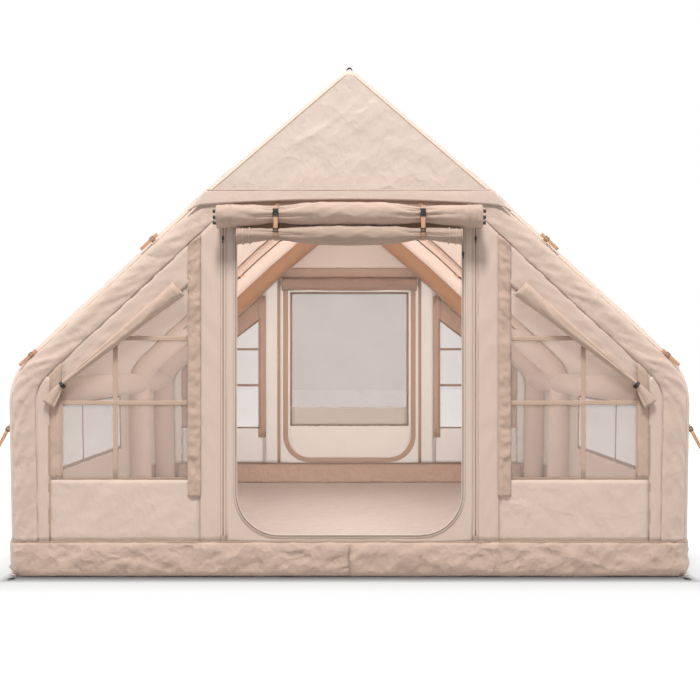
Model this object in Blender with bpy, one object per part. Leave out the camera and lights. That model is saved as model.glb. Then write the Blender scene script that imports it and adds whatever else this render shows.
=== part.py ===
# Inflatable cabin tent: three air arches joined by eave beams carry sewn cotton
# panels over a tub groundsheet, with a rolled-up front door and a closed rear door.
# Metres, +Z up. The front faces -Y, and the origin is on the ground at the middle.
import math

import bmesh
import bpy
from mathutils import Matrix, Vector

# Outer face of the cross-section, seen from the front
FOOT_HALF_WIDTH = 1.985
EAVE_HALF_WIDTH = 2.006
EAVE_HEIGHT = 1.179
SHOULDER_RADIUS = 0.42
KNEE_HALF_WIDTH = 0.85
KNEE_HEIGHT = 2.253
RIDGE_HEIGHT = 2.983
RIDGE_RADIUS = 0.07

# Depth of the tent and of its front bay
WHOLE_DEPTH = 3.6
FRONT_BAY = 2.465

# Thickness of the sewn parts, and the gap that neighbours keep
SKIN = 0.004
NET = 0.002
FLOOR = 0.006
SEAT = 0.0003
OVERRUN = 0.01
BITE = 0.001

# Air frame
TUBE_RADIUS = 0.098
EAVE_BEAM_RADIUS = 0.0925
EAVE_BEAM_TURN = math.radians(11.5)
LEAST_BEND = 0.012

# Tub groundsheet
TUB_HEIGHT = 0.205

# Front and rear walls
SLEEVE_INSET = 0.187
ZIP_HALF_SPAN = 0.730
ZIP_TAPE_WIDTH = 0.029
COIL_WIDTH = 0.006
COIL_PROUD = 0.0025
OPENING_HALF_WIDTH = 0.649
OPENING_SILL = 0.246
OPENING_RADIUS = 0.243

# Windows beside the doors: inner and outer edge, sill, and the sloping head
WINDOW_NEAR = 0.935
WINDOW_FAR = 1.662
WINDOW_SILL = 0.575
WINDOW_HEAD_NEAR_DROP = 0.573
WINDOW_HEAD_FAR_DROP = 0.054
WINDOW_HEAD_NEAR = KNEE_HEIGHT - WINDOW_HEAD_NEAR_DROP
WINDOW_HEAD_FAR = EAVE_HEIGHT - WINDOW_HEAD_FAR_DROP
WINDOW_BAR = 0.026
WINDOW_POST = 1.353
WINDOW_RAIL_SHARES = (0.392, 0.7295)
SEAM_LAP = 0.015

# Windows in the side walls
SIDE_WINDOW_FRONT = 0.295
SIDE_WINDOW_LENGTH = 1.90
SIDE_WINDOW_SILL = 0.51
SIDE_WINDOW_HEAD = 0.95

# Webbing
STRAP_WIDTH = 0.025
STRAP = 0.002

# Steps of the round shapes, and the angle from which an edge is shaded sharp
TUBE_SIDES = 16
SHOULDER_STEPS = 6
RIDGE_STEPS = 1
CORNER_STEPS = TUBE_SIDES // 4
HALF_SHARE = 1 / 2
D_STEPS = 8
SHARP_EDGE = math.radians(35)
SOFT_EDGE = math.radians(60)

# Places worked out from the sizes above
FRONT_Y = -WHOLE_DEPTH / 2
ARCH_INSET = SKIN + SEAT + TUBE_RADIUS
FRONT_ARCH_Y = FRONT_Y + ARCH_INSET
REAR_ARCH_Y = -FRONT_ARCH_Y
MIDDLE_ARCH_Y = FRONT_ARCH_Y + FRONT_BAY
PANEL_FOOT = TUB_HEIGHT + SEAT
LEFT_AND_RIGHT = (("left", -1), ("right", 1))

# Colours, and how rough and how metallic each kind of surface is
CANVAS = (0.72, 0.56, 0.45)
CANVAS_DARK = (0.60, 0.43, 0.33)
TUBE_CLOTH = (0.42, 0.20, 0.11)
NET_GREY = (0.58, 0.55, 0.52)
WEBBING_TAN = (0.62, 0.34, 0.20)
PLASTIC_BLACK = (0.012, 0.010, 0.009)
STEEL = (0.16, 0.16, 0.17)
CLOTH_ROUGHNESS = 0.85
WEBBING_ROUGHNESS = 0.7
PLASTIC_ROUGHNESS = 0.4
STEEL_ROUGHNESS = 0.35
STEEL_METALLIC = 0.9


def clear_scene():
    for thing in list(bpy.data.objects):
        bpy.data.objects.remove(thing)
    for mesh in list(bpy.data.meshes):
        bpy.data.meshes.remove(mesh)


def material(name, colour, roughness, metallic):
    made = bpy.data.materials.new(name)
    made.use_nodes = True
    shader = made.node_tree.nodes["Principled BSDF"]
    shader.inputs["Base Color"].default_value = (*colour, 1)
    shader.inputs["Roughness"].default_value = roughness
    shader.inputs["Metallic"].default_value = metallic
    return made


def finish(name, bm, colour, roughness=CLOTH_ROUGHNESS, metallic=0, origin=None, sharp=SHARP_EDGE):
    """Turns a bmesh in world coordinates into a named object, its origin moved to the given point."""
    bmesh.ops.recalc_face_normals(bm, faces=bm.faces)
    if bm.calc_volume(signed=True) < 0:
        bmesh.ops.reverse_faces(bm, faces=bm.faces)
    at = Vector(origin) if origin else Vector((0, 0, 0))
    bmesh.ops.translate(bm, verts=bm.verts, vec=-at)
    mesh = bpy.data.meshes.new(name)
    bm.to_mesh(mesh)
    bm.free()
    mesh.shade_smooth()
    mesh.set_sharp_from_angle(angle=sharp)
    mesh.materials.append(material(name, colour, roughness, metallic))
    made = bpy.data.objects.new(name, mesh)
    made.location = at
    bpy.context.scene.collection.objects.link(made)
    return made


def guide(name, bm):
    """A cutter or a piece to be joined: it shapes another object and isn't a part itself."""
    made = finish(name, bm, CANVAS)
    made.hide_render = True
    made.display_type = "WIRE"
    return made


def combine(target, tool, operation):
    modifier = target.modifiers.new(tool.name, "BOOLEAN")
    modifier.operation = operation
    modifier.solver = "EXACT"
    modifier.object = tool


def rings_to_body(bm, rings, closed=False):
    """Skins a list of equal rings of points; open ends are capped."""
    loops = [[bm.verts.new(p) for p in ring] for ring in rings]
    count = len(loops[0])
    pairs = list(zip(loops, loops[1:]))
    if closed:
        pairs.append((loops[-1], loops[0]))
    for low, high in pairs:
        for i in range(count):
            j = (i + 1) % count
            bm.faces.new((low[i], low[j], high[j], high[i]))
    if not closed:
        bm.faces.new(loops[0][::-1])
        bm.faces.new(loops[-1])


def box(bm, low, high):
    made = bmesh.ops.create_cube(bm, size=1)
    centre = (Vector(low) + Vector(high)) / 2
    size = Vector(high) - Vector(low)
    bmesh.ops.scale(bm, verts=made["verts"], vec=size)
    bmesh.ops.translate(bm, verts=made["verts"], vec=centre)
    return made["verts"]


def inward(direction):
    return Vector((-direction.y, direction.x))


def meeting(a, along_a, b, along_b):
    """The point where two lines in a plane cross."""
    share = (b - a).cross(along_b) / along_a.cross(along_b)
    return a + along_a * share


def arc(corner, along_in, turn, radius, steps, share=1):
    """Points of a fillet that leaves one line and turns left, up to a share of its turn."""
    start = corner - along_in * radius * math.tan(turn / 2)
    centre = start + inward(along_in) * radius
    spoke = start - centre
    points = []
    for i in range(steps + 1):
        turned = Matrix.Rotation(turn * share * i / steps, 2) @ spoke
        points.append(centre + turned)
    return points


def outline(inset, foot=0):
    """Right half of the cross-section, foot to ridge, drawn in from the outer face."""
    corners = [
        Vector((FOOT_HALF_WIDTH, 0)),
        Vector((EAVE_HALF_WIDTH, EAVE_HEIGHT)),
        Vector((KNEE_HALF_WIDTH, KNEE_HEIGHT)),
        Vector((0, RIDGE_HEIGHT)),
    ]
    along = [(b - a).normalized() for a, b in zip(corners, corners[1:])]
    starts = [a + inward(d) * inset for a, d in zip(corners, along)]
    wall, lower, upper = along
    eave = meeting(starts[0], wall, starts[1], lower)
    knee = meeting(starts[1], lower, starts[2], upper)
    ridge = meeting(starts[2], upper, Vector((0, 0)), Vector((0, 1)))
    ground = meeting(starts[0], wall, Vector((0, foot)), Vector((1, 0)))
    shoulder_turn = wall.angle(lower)
    ridge_turn = 2 * upper.angle(Vector((-1, 0)))
    shoulder_bend = max(SHOULDER_RADIUS - inset, LEAST_BEND)
    ridge_bend = max(RIDGE_RADIUS - inset, LEAST_BEND)
    shoulder = arc(eave, wall, shoulder_turn, shoulder_bend, SHOULDER_STEPS)
    top = arc(ridge, upper, ridge_turn, ridge_bend, RIDGE_STEPS, HALF_SHARE)
    top[-1].x = 0
    return [ground, *shoulder, knee, *top]


# Place of the shoulder's first point in the outline
SHOULDER_FIRST = 1


def outline_whole(inset, foot=0):
    """The whole cross-section, right foot over the ridge to the left foot."""
    right = outline(inset, foot)
    left = [Vector((-p.x, p.y)) for p in right[-2::-1]]
    return right + left


def swept(name, section, colour, foot=0):
    """Carries a section of (inset, y) points over the whole arch."""
    lines = [(outline_whole(inset, foot), y) for inset, y in section]
    rings = []
    for i in range(len(lines[0][0])):
        rings.append([(line[i].x, y, line[i].y) for line, y in lines])
    bm = bmesh.new()
    rings_to_body(bm, rings)
    return finish(name, bm, colour)


def plate(outer, near, far, place, holes=()):
    """A flat panel: loops of (a, b) points filled, given depth and put in place."""
    bm = bmesh.new()
    edges = []
    for loop in (outer, *holes):
        verts = [bm.verts.new((a, b, near)) for a, b in loop]
        for i, v in enumerate(verts):
            edges.append(bm.edges.new((v, verts[(i + 1) % len(verts)])))
    bmesh.ops.triangle_fill(bm, use_beauty=True, use_dissolve=False, edges=edges)
    grown = bmesh.ops.extrude_face_region(bm, geom=bm.faces[:])
    raised = [v for v in grown["geom"] if isinstance(v, bmesh.types.BMVert)]
    bmesh.ops.translate(bm, verts=raised, vec=(0, 0, far - near))
    for v in bm.verts:
        v.co = place(v.co.x, v.co.y, v.co.z)
    return bm


def upright(a, b, depth):
    """Wall panels: across the tent, up, and y."""
    return Vector((a, depth, b))


def rectangle(low, high):
    return [(low[0], low[1]), (high[0], low[1]), (high[0], high[1]), (low[0], high[1])]


def ribbon(path, thick):
    """Closed outline of a strip that follows a path of points."""
    left = []
    right = []
    runs = [(b - a).normalized() for a, b in zip(path, path[1:])]
    for here, arriving, leaving in zip(path, [runs[0]] + runs, runs + [runs[-1]]):
        along = (arriving + leaving).normalized()
        across = inward(along) * thick / 2 / along.dot(leaving)
        left.append(here + across)
        right.append(here - across)
    return left + right[::-1]


def d_shape(half_width, sill, head, radius, steps=D_STEPS):
    """Closed loop of a door opening: square at the head, round at the two lower corners."""
    loop = []
    for side in (-1, 1):
        for i in range(steps + 1):
            turn = math.pi / 2 * i / steps
            spread = math.cos(turn) if side < 0 else math.sin(turn)
            drop = math.sin(turn) if side < 0 else math.cos(turn)
            x = side * (half_width - radius + radius * spread)
            loop.append((x, sill + radius - radius * drop))
    return [(-half_width, head), *loop, (half_width, head)]


# Air frame: arches bent from one tube each, and eave beams notched onto them


def arch_section(y, radius):
    section = []
    for i in range(TUBE_SIDES):
        turn = math.tau * i / TUBE_SIDES
        section.append((ARCH_INSET - radius * math.cos(turn), y + radius * math.sin(turn)))
    return section


def make_arch(name, y):
    return swept(name, arch_section(y, TUBE_RADIUS), TUBE_CLOTH, foot=FLOOR + SEAT)


def eave_beam_centre():
    """On the arch's own centre line, a little above the start of the shoulder."""
    shoulder = outline(ARCH_INSET)[SHOULDER_FIRST]
    pivot = shoulder - Vector((SHOULDER_RADIUS - ARCH_INSET, 0))
    spoke = Matrix.Rotation(EAVE_BEAM_TURN, 2) @ (shoulder - pivot)
    return pivot + spoke


def make_eave_beam(name, side, start, end, notches):
    centre = eave_beam_centre()
    rings = []
    for y in (start, end):
        ring = []
        for i in range(TUBE_SIDES):
            turn = math.tau * i / TUBE_SIDES
            x = centre.x + EAVE_BEAM_RADIUS * math.cos(turn)
            z = centre.y + EAVE_BEAM_RADIUS * math.sin(turn)
            ring.append((side * x, y, z))
        rings.append(ring)
    bm = bmesh.new()
    rings_to_body(bm, rings)
    beam = finish(name, bm, TUBE_CLOTH)
    for notch in notches:
        combine(beam, notch, "DIFFERENCE")


def make_air_frame():
    places = {
        "front": FRONT_ARCH_Y,
        "middle": MIDDLE_ARCH_Y,
        "rear": REAR_ARCH_Y,
    }
    notches = {}
    for where, y in places.items():
        make_arch(f"{where}_arch_tube", y)
        cutter = swept(f"cut_{where}_arch", arch_section(y, TUBE_RADIUS + SEAT), TUBE_CLOTH)
        cutter.hide_render = True
        cutter.display_type = "WIRE"
        notches[where] = cutter
    for side_name, side in LEFT_AND_RIGHT:
        for bay, ends in (("front", ("front", "middle")), ("rear", ("middle", "rear"))):
            make_eave_beam(
                f"{side_name}_eave_beam_{bay}",
                side,
                places[ends[0]],
                places[ends[1]],
                [notches[end] for end in ends],
            )


# Envelope: roof panels with their round shoulders, side walls, and arch sleeves


def make_roof_panel(name, side):
    front = FRONT_ARCH_Y + SEAT / 2
    rear = REAR_ARCH_Y - SEAT / 2
    lines = []
    for inset, y in ((0, front), (0, rear), (SKIN, rear), (SKIN, front)):
        line = outline(inset)[SHOULDER_FIRST:]
        lines.append([(side * max(p.x, SEAT / 2), y, p.y) for p in line])
    bm = bmesh.new()
    rings_to_body(bm, list(zip(*lines)))
    return finish(name, bm, CANVAS)


def wall_face(z):
    """Half width of the tent's outer face at a height on the side wall."""
    return FOOT_HALF_WIDTH + (EAVE_HALF_WIDTH - FOOT_HALF_WIDTH) * z / EAVE_HEIGHT


def make_side_wall(side_name, side):
    def place(a, b, depth):
        return Vector((side * (wall_face(b) - depth), a, b))

    head = outline(SKIN)[SHOULDER_FIRST].y - SEAT
    low = (FRONT_ARCH_Y + SEAT / 2, PANEL_FOOT)
    high = (REAR_ARCH_Y - SEAT / 2, head)
    start = FRONT_ARCH_Y + SIDE_WINDOW_FRONT
    end = start + SIDE_WINDOW_LENGTH
    opening = rectangle((start, SIDE_WINDOW_SILL), (end, SIDE_WINDOW_HEAD))
    wall = plate(rectangle(low, high), 0, SKIN, place, [opening])
    net = plate(
        rectangle(
            (start - SEAM_LAP, SIDE_WINDOW_SILL - SEAM_LAP),
            (end + SEAM_LAP, SIDE_WINDOW_HEAD + SEAM_LAP),
        ),
        SKIN + SEAT,
        SKIN + SEAT + NET,
        place,
    )
    finish(f"{side_name}_side_window", net, NET_GREY)
    return finish(f"{side_name}_side_wall", wall, CANVAS)


def make_sleeve(name, facing):
    """Cloth round the outside of an end arch, then flat along the wall to its inner seam."""
    face = facing * WHOLE_DEPTH / 2
    arch_y = facing * REAR_ARCH_Y
    outer = []
    inner = []
    for i in range(CORNER_STEPS + 1):
        turn = math.pi / 2 * i / CORNER_STEPS
        for radius, row in ((ARCH_INSET, outer), (ARCH_INSET - SKIN, inner)):
            y = arch_y + facing * radius * math.sin(turn)
            row.append([ARCH_INSET - radius * math.cos(turn), y])
    for row in (outer, inner):
        row[0][1] += facing * SEAT / 2
        row.append([SLEEVE_INSET, row[-1][1]])
    outer[-2][1] = outer[-1][1] = face
    return swept(name, outer + inner[::-1], CANVAS, foot=PANEL_FOOT)


def rounded_ring(half_x, half_y, radius, z):
    ring = []
    for quarter, (sx, sy) in enumerate(((1, 1), (-1, 1), (-1, -1), (1, -1))):
        for i in range(CORNER_STEPS + 1):
            turn = math.pi / 2 * (quarter + i / CORNER_STEPS)
            x = sx * (half_x - radius) + radius * math.cos(turn)
            y = sy * (half_y - radius) + radius * math.sin(turn)
            ring.append((x, y, z))
    return ring


# Stake tabs of the tub: doubled webbing with an eye for the straight bar of a ring
STAKE_INSET = 0.053
STAKE_TAB_REACH = 0.045
STAKE_TAB_ROOT = 0.035
STAKE_TAB_LIFT = 0.0005
RING_WIRE = 0.002
RING_HALF_WIDTH = 0.0175
RING_REACH = 0.036
RING_SIDES = 8
RING_STEPS = 8
EYE = RING_WIRE + SEAT
TAB_HALF = EYE + STRAP
TAB_THROAT = 2 * TAB_HALF


def stake_places():
    """Centre of each ring's straight bar, and the way it points."""
    x = FOOT_HALF_WIDTH - STAKE_INSET
    y = WHOLE_DEPTH / 2 + STAKE_TAB_REACH
    z = TAB_HALF + STAKE_TAB_LIFT
    for facing, end in ((-1, "front"), (1, "rear")):
        for side_name, side in LEFT_AND_RIGHT:
            yield f"{end}_{side_name}", Vector((side * x, facing * y, z)), facing


def make_stake_tab(name, centre, facing):
    """Webbing doubled flat from under the tub's foot, round the bar of its ring."""
    shape = []
    for i in range(RING_STEPS + 1):
        turn = -math.pi / 2 + math.pi * i / RING_STEPS
        y = centre.y + facing * TAB_HALF * math.cos(turn)
        shape.append((y, centre.z + TAB_HALF * math.sin(turn)))
    root = facing * (WHOLE_DEPTH / 2 - STAKE_TAB_ROOT)
    layers = STAKE_TAB_LIFT + 2 * STRAP
    throat = centre.y - facing * TAB_THROAT
    shape += [(throat, layers), (root, layers), (root, STAKE_TAB_LIFT)]
    eye = []
    for i in range(RING_SIDES):
        turn = math.tau * i / RING_SIDES
        eye.append((centre.y + EYE * math.cos(turn), centre.z + EYE * math.sin(turn)))

    def place(a, b, depth):
        return Vector((centre.x + depth, a, b))

    return guide(name, plate(shape, -STRAP_WIDTH / 2, STRAP_WIDTH / 2, place, [eye]))


def make_tub():
    top = wall_face(TUB_HEIGHT)
    half_y = WHOLE_DEPTH / 2
    rings = [
        rounded_ring(FOOT_HALF_WIDTH, half_y, ARCH_INSET, 0),
        rounded_ring(top, half_y, ARCH_INSET, TUB_HEIGHT),
        rounded_ring(top - SKIN, half_y - SKIN, ARCH_INSET - SKIN, TUB_HEIGHT),
        rounded_ring(wall_face(FLOOR) - SKIN, half_y - SKIN, ARCH_INSET - SKIN, FLOOR),
    ]
    bm = bmesh.new()
    rings_to_body(bm, rings)
    tub = finish("tub_groundsheet", bm, CANVAS_DARK)
    for name, centre, facing in stake_places():
        combine(tub, make_stake_tab(f"join_stake_tab_{name}", centre, facing), "UNION")


def make_stake_ring(name, centre, facing):
    """A D-shaped wire ring, hinged on its straight bar."""
    bend = RING_HALF_WIDTH - RING_WIRE
    path = [Vector((-bend, 0)), Vector((bend, 0))]
    for i in range(RING_STEPS + 1):
        turn = math.pi * i / RING_STEPS
        rise = RING_REACH - RING_WIRE - bend + bend * math.sin(turn)
        path.append(Vector((bend * math.cos(turn), rise)))
    rings = []
    for i, here in enumerate(path):
        arriving = (here - path[i - 1]).normalized()
        leaving = (path[(i + 1) % len(path)] - here).normalized()
        along = (arriving + leaving).normalized()
        across = Vector((along.y, -along.x)) / along.dot(leaving)
        ring = []
        for k in range(RING_SIDES):
            turn = math.tau * k / RING_SIDES
            point = here + across * RING_WIRE * math.cos(turn)
            rise = RING_WIRE * math.sin(turn)
            ring.append(centre + Vector((point.x, facing * point.y, rise)))
        rings.append(ring)
    bm = bmesh.new()
    rings_to_body(bm, rings, closed=True)
    finish(f"stake_ring_{name}", bm, STEEL, STEEL_ROUGHNESS, STEEL_METALLIC, origin=centre)


# Front and rear walls, their windows, and the door surround
BAR_SET = 0.0004
PANEL_EDGE = ZIP_HALF_SPAN - ZIP_TAPE_WIDTH / 2
WALL_INSET = SLEEVE_INSET + SEAT
COIL_SILL = 0.24
COIL_SET = 0.005

# Rear door: its head, and the net window in it
REAR_DOOR_DROP = 0.203
REAR_DOOR_HEAD = KNEE_HEIGHT - REAR_DOOR_DROP
REAR_NET_HALF_WIDTH = 0.600
REAR_NET_SILL = 0.60
REAR_NET_DROP = 0.09
REAR_NET_HEAD = REAR_DOOR_HEAD - REAR_NET_DROP
REAR_NET_RADIUS = 0.05
REAR_NET_STEPS = 2


def wall_head(x):
    """Height of the arch sleeve's inner seam at a half width."""
    line = outline(WALL_INSET)
    for a, b in zip(line, line[1:]):
        if b.x <= x <= a.x:
            return a.y + (b.y - a.y) * (x - a.x) / (b.x - a.x)


def half_wall(side):
    """Loop of the wall between the door zip, the tub and the arch sleeve."""
    near = PANEL_EDGE + SEAT / 2
    line = outline(WALL_INSET, PANEL_FOOT)
    loop = [(near, PANEL_FOOT)]
    loop += [(p.x, p.y) for p in line if p.x > near]
    loop.append((near, wall_head(near)))
    return [(side * x, z) for x, z in loop]


def window_head(x):
    slope = (WINDOW_HEAD_FAR - WINDOW_HEAD_NEAR) / (WINDOW_FAR - WINDOW_NEAR)
    return WINDOW_HEAD_NEAR + slope * (x - WINDOW_NEAR)


def window_loop(side, lap=0):
    near = WINDOW_NEAR - lap
    far = WINDOW_FAR + lap
    loop = [
        (near, WINDOW_SILL - lap),
        (far, WINDOW_SILL - lap),
        (far, window_head(far) + lap),
        (near, window_head(near) + lap),
    ]
    return [(side * x, z) for x, z in loop]


def make_window(name, wall, side, facing):
    """Sewn bars across the window of a wall, and the net behind them."""
    face = facing * WHOLE_DEPTH / 2
    slope = (WINDOW_HEAD_NEAR - WINDOW_HEAD_FAR) / (WINDOW_FAR - WINDOW_NEAR)
    bars = [("post", WINDOW_POST, WINDOW_SILL - OVERRUN, window_head(WINDOW_POST) + OVERRUN)]
    for i, share in enumerate(WINDOW_RAIL_SHARES):
        z = WINDOW_SILL + (WINDOW_HEAD_NEAR - WINDOW_SILL) * share
        end = min(WINDOW_FAR, WINDOW_NEAR + (WINDOW_HEAD_NEAR - z) / slope) + OVERRUN
        bars.append((f"rail_{i}", z, WINDOW_NEAR - OVERRUN, end))
    for i, (bar_name, at, start, end) in enumerate(bars):
        sunk = BAR_SET * (i + 1)
        depths = sorted((face - facing * sunk, face - facing * (SKIN - sunk)))
        if bar_name == "post":
            low = (at - WINDOW_BAR / 2, start)
            high = (at + WINDOW_BAR / 2, end)
        else:
            low = (start, at - WINDOW_BAR / 2)
            high = (end, at + WINDOW_BAR / 2)
        loop = [(side * x, z) for x, z in rectangle(low, high)]
        bar = guide(f"join_{name}_{bar_name}", plate(loop, depths[0], depths[1], upright))
        combine(wall, bar, "UNION")
    near = face - facing * (SKIN + SEAT)
    net = plate(window_loop(side, SEAM_LAP), near, near - facing * NET, upright)
    finish(name, net, NET_GREY)


def add_coil(wall, side, facing, name):
    """The raised coil of a straight door zip, on its sewn tape."""
    face = facing * WHOLE_DEPTH / 2
    bm = bmesh.new()
    ends = sorted((face + facing * COIL_PROUD, face - facing * BITE))
    x = side * ZIP_HALF_SPAN
    low = (x - COIL_WIDTH / 2, ends[0], COIL_SILL)
    high = (x + COIL_WIDTH / 2, ends[1], wall_head(ZIP_HALF_SPAN) - OVERRUN)
    box(bm, low, high)
    combine(wall, guide(name, bm), "UNION")


def make_front_wall(side_name, side):
    loop = half_wall(side)
    wall = finish(
        f"{side_name}_front_wall",
        plate(loop, FRONT_Y, FRONT_Y + SKIN, upright, [window_loop(side)]),
        CANVAS,
    )
    make_window(f"{side_name}_front_window", wall, side, -1)
    add_coil(wall, side, -1, f"join_{side_name}_door_coil")


def door_loop(clearance, head):
    return d_shape(
        OPENING_HALF_WIDTH - clearance,
        OPENING_SILL + clearance,
        head,
        OPENING_RADIUS - clearance,
    )


def make_door_surround():
    """U-shaped frame of the doorway, with the coil of the round door zip along its edge."""
    edge = PANEL_EDGE - SEAT / 2
    head = wall_head(PANEL_EDGE) - SEAT
    loop = [(edge, head), (edge, PANEL_FOOT), (-edge, PANEL_FOOT), (-edge, head)]
    surround = finish(
        "door_surround",
        plate(loop + door_loop(0, head), FRONT_Y, FRONT_Y + SKIN, upright),
        CANVAS,
    )
    top = head - OVERRUN
    inner = door_loop(-COIL_SET, top)
    outer = door_loop(-COIL_SET - COIL_WIDTH, top)
    coil = plate(inner + outer[::-1], FRONT_Y - COIL_PROUD, FRONT_Y + BITE, upright)
    combine(surround, guide("join_round_door_coil", coil), "UNION")


def make_rear_wall():
    face = WHOLE_DEPTH / 2
    loop = [(p.x, p.y) for p in outline_whole(WALL_INSET, PANEL_FOOT)]
    holes = [window_loop(-1), window_loop(1), door_loop(0, REAR_DOOR_HEAD)]
    wall = finish("rear_wall", plate(loop, face - SKIN, face, upright, holes), CANVAS)
    for side_name, side in LEFT_AND_RIGHT:
        make_window(f"{side_name}_rear_window", wall, side, 1)
        add_coil(wall, side, 1, f"join_{side_name}_rear_coil")
    pane = d_shape(
        REAR_NET_HALF_WIDTH,
        REAR_NET_SILL,
        REAR_NET_HEAD,
        REAR_NET_RADIUS,
        REAR_NET_STEPS,
    )
    door = plate(door_loop(SEAT, REAR_DOOR_HEAD - SEAT), face - SKIN, face, upright, [pane])
    finish("rear_door", door, CANVAS)
    net = rectangle(
        (-REAR_NET_HALF_WIDTH - SEAM_LAP, REAR_NET_SILL - SEAM_LAP),
        (REAR_NET_HALF_WIDTH + SEAM_LAP, REAR_NET_HEAD + SEAM_LAP),
    )
    near = face - SKIN - SEAT
    finish("rear_door_net", plate(net, near - NET, near, upright), NET_GREY)


# Hood over the front gable, with a deep hem and the webbing loop at its peak
HOOD_INSET = 0.045
HOOD = 0.004
HEM_PROUD = 0.002
HEM_BEND_X = 0.8716
HEM_HEAD_DROP = 0.0115
HEM_MIDDLE_DROP = 0.072
HEM_BEND_DROP = 0.105
HOOD_TIP_DROP = 0.136
HEM_HEAD = KNEE_HEIGHT - HEM_HEAD_DROP
HEM_MIDDLE = KNEE_HEIGHT - HEM_MIDDLE_DROP
HEM_BEND = KNEE_HEIGHT - HEM_BEND_DROP
HOOD_TIP = KNEE_HEIGHT - HOOD_TIP_DROP
PEAK_LOOP_WIDTH = 0.041
PEAK_LOOP_RISE = 0.026
PEAK_LOOP_STEPS = 6
HEM_STEPS = 4


def hood_edge(z):
    """Half width of the hood at a height on its sloping edge."""
    line = outline(HOOD_INSET)
    for a, b in zip(line, line[1:]):
        if a.y <= z <= b.y:
            return a.x + (b.x - a.x) * (z - a.y) / (b.y - a.y)


def hood_hem():
    """Lower edge of the hood from its left tip to its right tip."""
    right = []
    for i in range(HEM_STEPS + 1):
        share = i / HEM_STEPS
        right.append((HEM_BEND_X * share, HEM_MIDDLE + (HEM_BEND - HEM_MIDDLE) * share**2))
    right.append((hood_edge(HOOD_TIP), HOOD_TIP))
    return [(-x, z) for x, z in right[:0:-1]] + right


def make_hood():
    line = outline_whole(HOOD_INSET)
    upper = [(p.x, p.y) for p in line if p.y > HOOD_TIP]
    back = FRONT_Y - SEAT
    hood = finish("gable_hood", plate(hood_hem() + upper, back - HOOD, back, upright), CANVAS)
    wide = hood_edge(HEM_HEAD) - BITE
    band = hood_hem()[1:-1] + [(wide, HEM_HEAD), (-wide, HEM_HEAD)]
    depth = (back - HOOD - HEM_PROUD, back - HOOD + BITE)
    combine(hood, guide("join_hood_hem", plate(band, *depth, upright)), "UNION")


def roof_height(x):
    """Height of the roof's outer face near the ridge."""
    line = outline(0)
    for a, b in zip(line, line[1:]):
        if b.x <= abs(x) <= a.x:
            return a.y + (b.y - a.y) * (abs(x) - a.x) / (b.x - a.x)


def make_peak_loop():
    """Strip of webbing standing in a loop on the ridge, its feet on the roof."""
    half = PEAK_LOOP_WIDTH / 2
    outer = []
    inner = []
    for i in range(PEAK_LOOP_STEPS + 1):
        turn = math.pi * i / PEAK_LOOP_STEPS
        for shrink, row in ((0, outer), (STRAP, inner)):
            x = (half - shrink) * math.cos(turn)
            rise = (PEAK_LOOP_RISE - shrink) * math.sin(turn)
            row.append((x, roof_height(x) + SEAT + rise))
    near = FRONT_ARCH_Y + SEAT
    loop = plate(outer + inner[::-1], near, near + STRAP_WIDTH, upright)
    finish("peak_loop", loop, PLASTIC_BLACK, WEBBING_ROUGHNESS)


# Rolled cloth: the two front doors, the rear door's cover and the window flaps
ROLL_SIDES = 16
ROLL_LAP_SHARE = 0.08
ROLL_EDGE_SHARE = 0.80
ROLL_HOLLOW_SHARE = 0.72
ROLL_HOLLOW_DEPTH = 0.02
PLEATS = 7
PLEAT_SHARE = 0.07


def roll_turns(pleat=0):
    """One turn round a wound cloth: its radius falls off, and steps back at the free edge."""
    for i in range(ROLL_SIDES):
        turn = math.tau * i / ROLL_SIDES
        reach = 1 - ROLL_LAP_SHARE * i / ROLL_SIDES
        yield turn, reach * (1 - pleat * PLEAT_SHARE * (1 + math.cos(PLEATS * turn)))


def roll_ring(centre, across, out, half_across, half_out, pleat=0):
    ring = []
    for turn, reach in roll_turns(pleat):
        point = across * half_across * math.cos(turn) + out * half_out * math.sin(turn)
        ring.append(centre + point * reach)
    return ring


def make_roll(name, stations, colour=CANVAS_DARK):
    """Lofts wound cloth through stations and hollows both of its ends."""
    rings = [roll_ring(*station) for station in stations]
    for at, inner in ((0, 1), (-1, -2)):
        centre, across, out, half_across, half_out = stations[at][:5]
        along = (stations[inner][0] - centre).normalized()
        rim = roll_ring(
            centre, across, out, half_across * ROLL_EDGE_SHARE, half_out * ROLL_EDGE_SHARE
        )
        hollow = roll_ring(
            centre + along * ROLL_HOLLOW_DEPTH,
            across,
            out,
            half_across * ROLL_HOLLOW_SHARE,
            half_out * ROLL_HOLLOW_SHARE,
        )
        rings = [hollow, rim, *rings] if at == 0 else [*rings, rim, hollow]
    bm = bmesh.new()
    rings_to_body(bm, rings)
    return finish(name, bm, colour, sharp=SOFT_EDGE)


# Door rolls: the flat seat and the pinch that a tie gives each roll
TIE_X = 0.416
TIE_SEAT_HALF = 0.0135
TIE_PINCH_WIDTH = 0.09
OUTER_ROLL_HALF_LENGTH = 0.753
OUTER_ROLL_RADIUS = 0.066
OUTER_ROLL_PINCH = 0.050
OUTER_ROLL_DROP = 0.098
OUTER_ROLL_Z = HEM_MIDDLE - OUTER_ROLL_DROP
INNER_ROLL_HALF_LENGTH = 0.640
INNER_ROLL_RADIUS = 0.048
INNER_ROLL_PINCH = 0.036
INNER_ROLL_SET = 0.011
REAR_ROLL_HALF_LENGTH = 0.690
REAR_ROLL_RADIUS = 0.066
REAR_ROLL_DROP = 0.004
REAR_ROLL_Z = REAR_DOOR_HEAD - REAR_ROLL_DROP
ROLL_MIDDLE_SPANS = 6
ROLL_END_SPANS = 4
ROLL_BACK_SHARE = max(-reach * math.sin(turn) for turn, reach in roll_turns())
ROLL_TOP_SHARE = max(-reach * math.cos(turn) for turn, reach in roll_turns())
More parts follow.
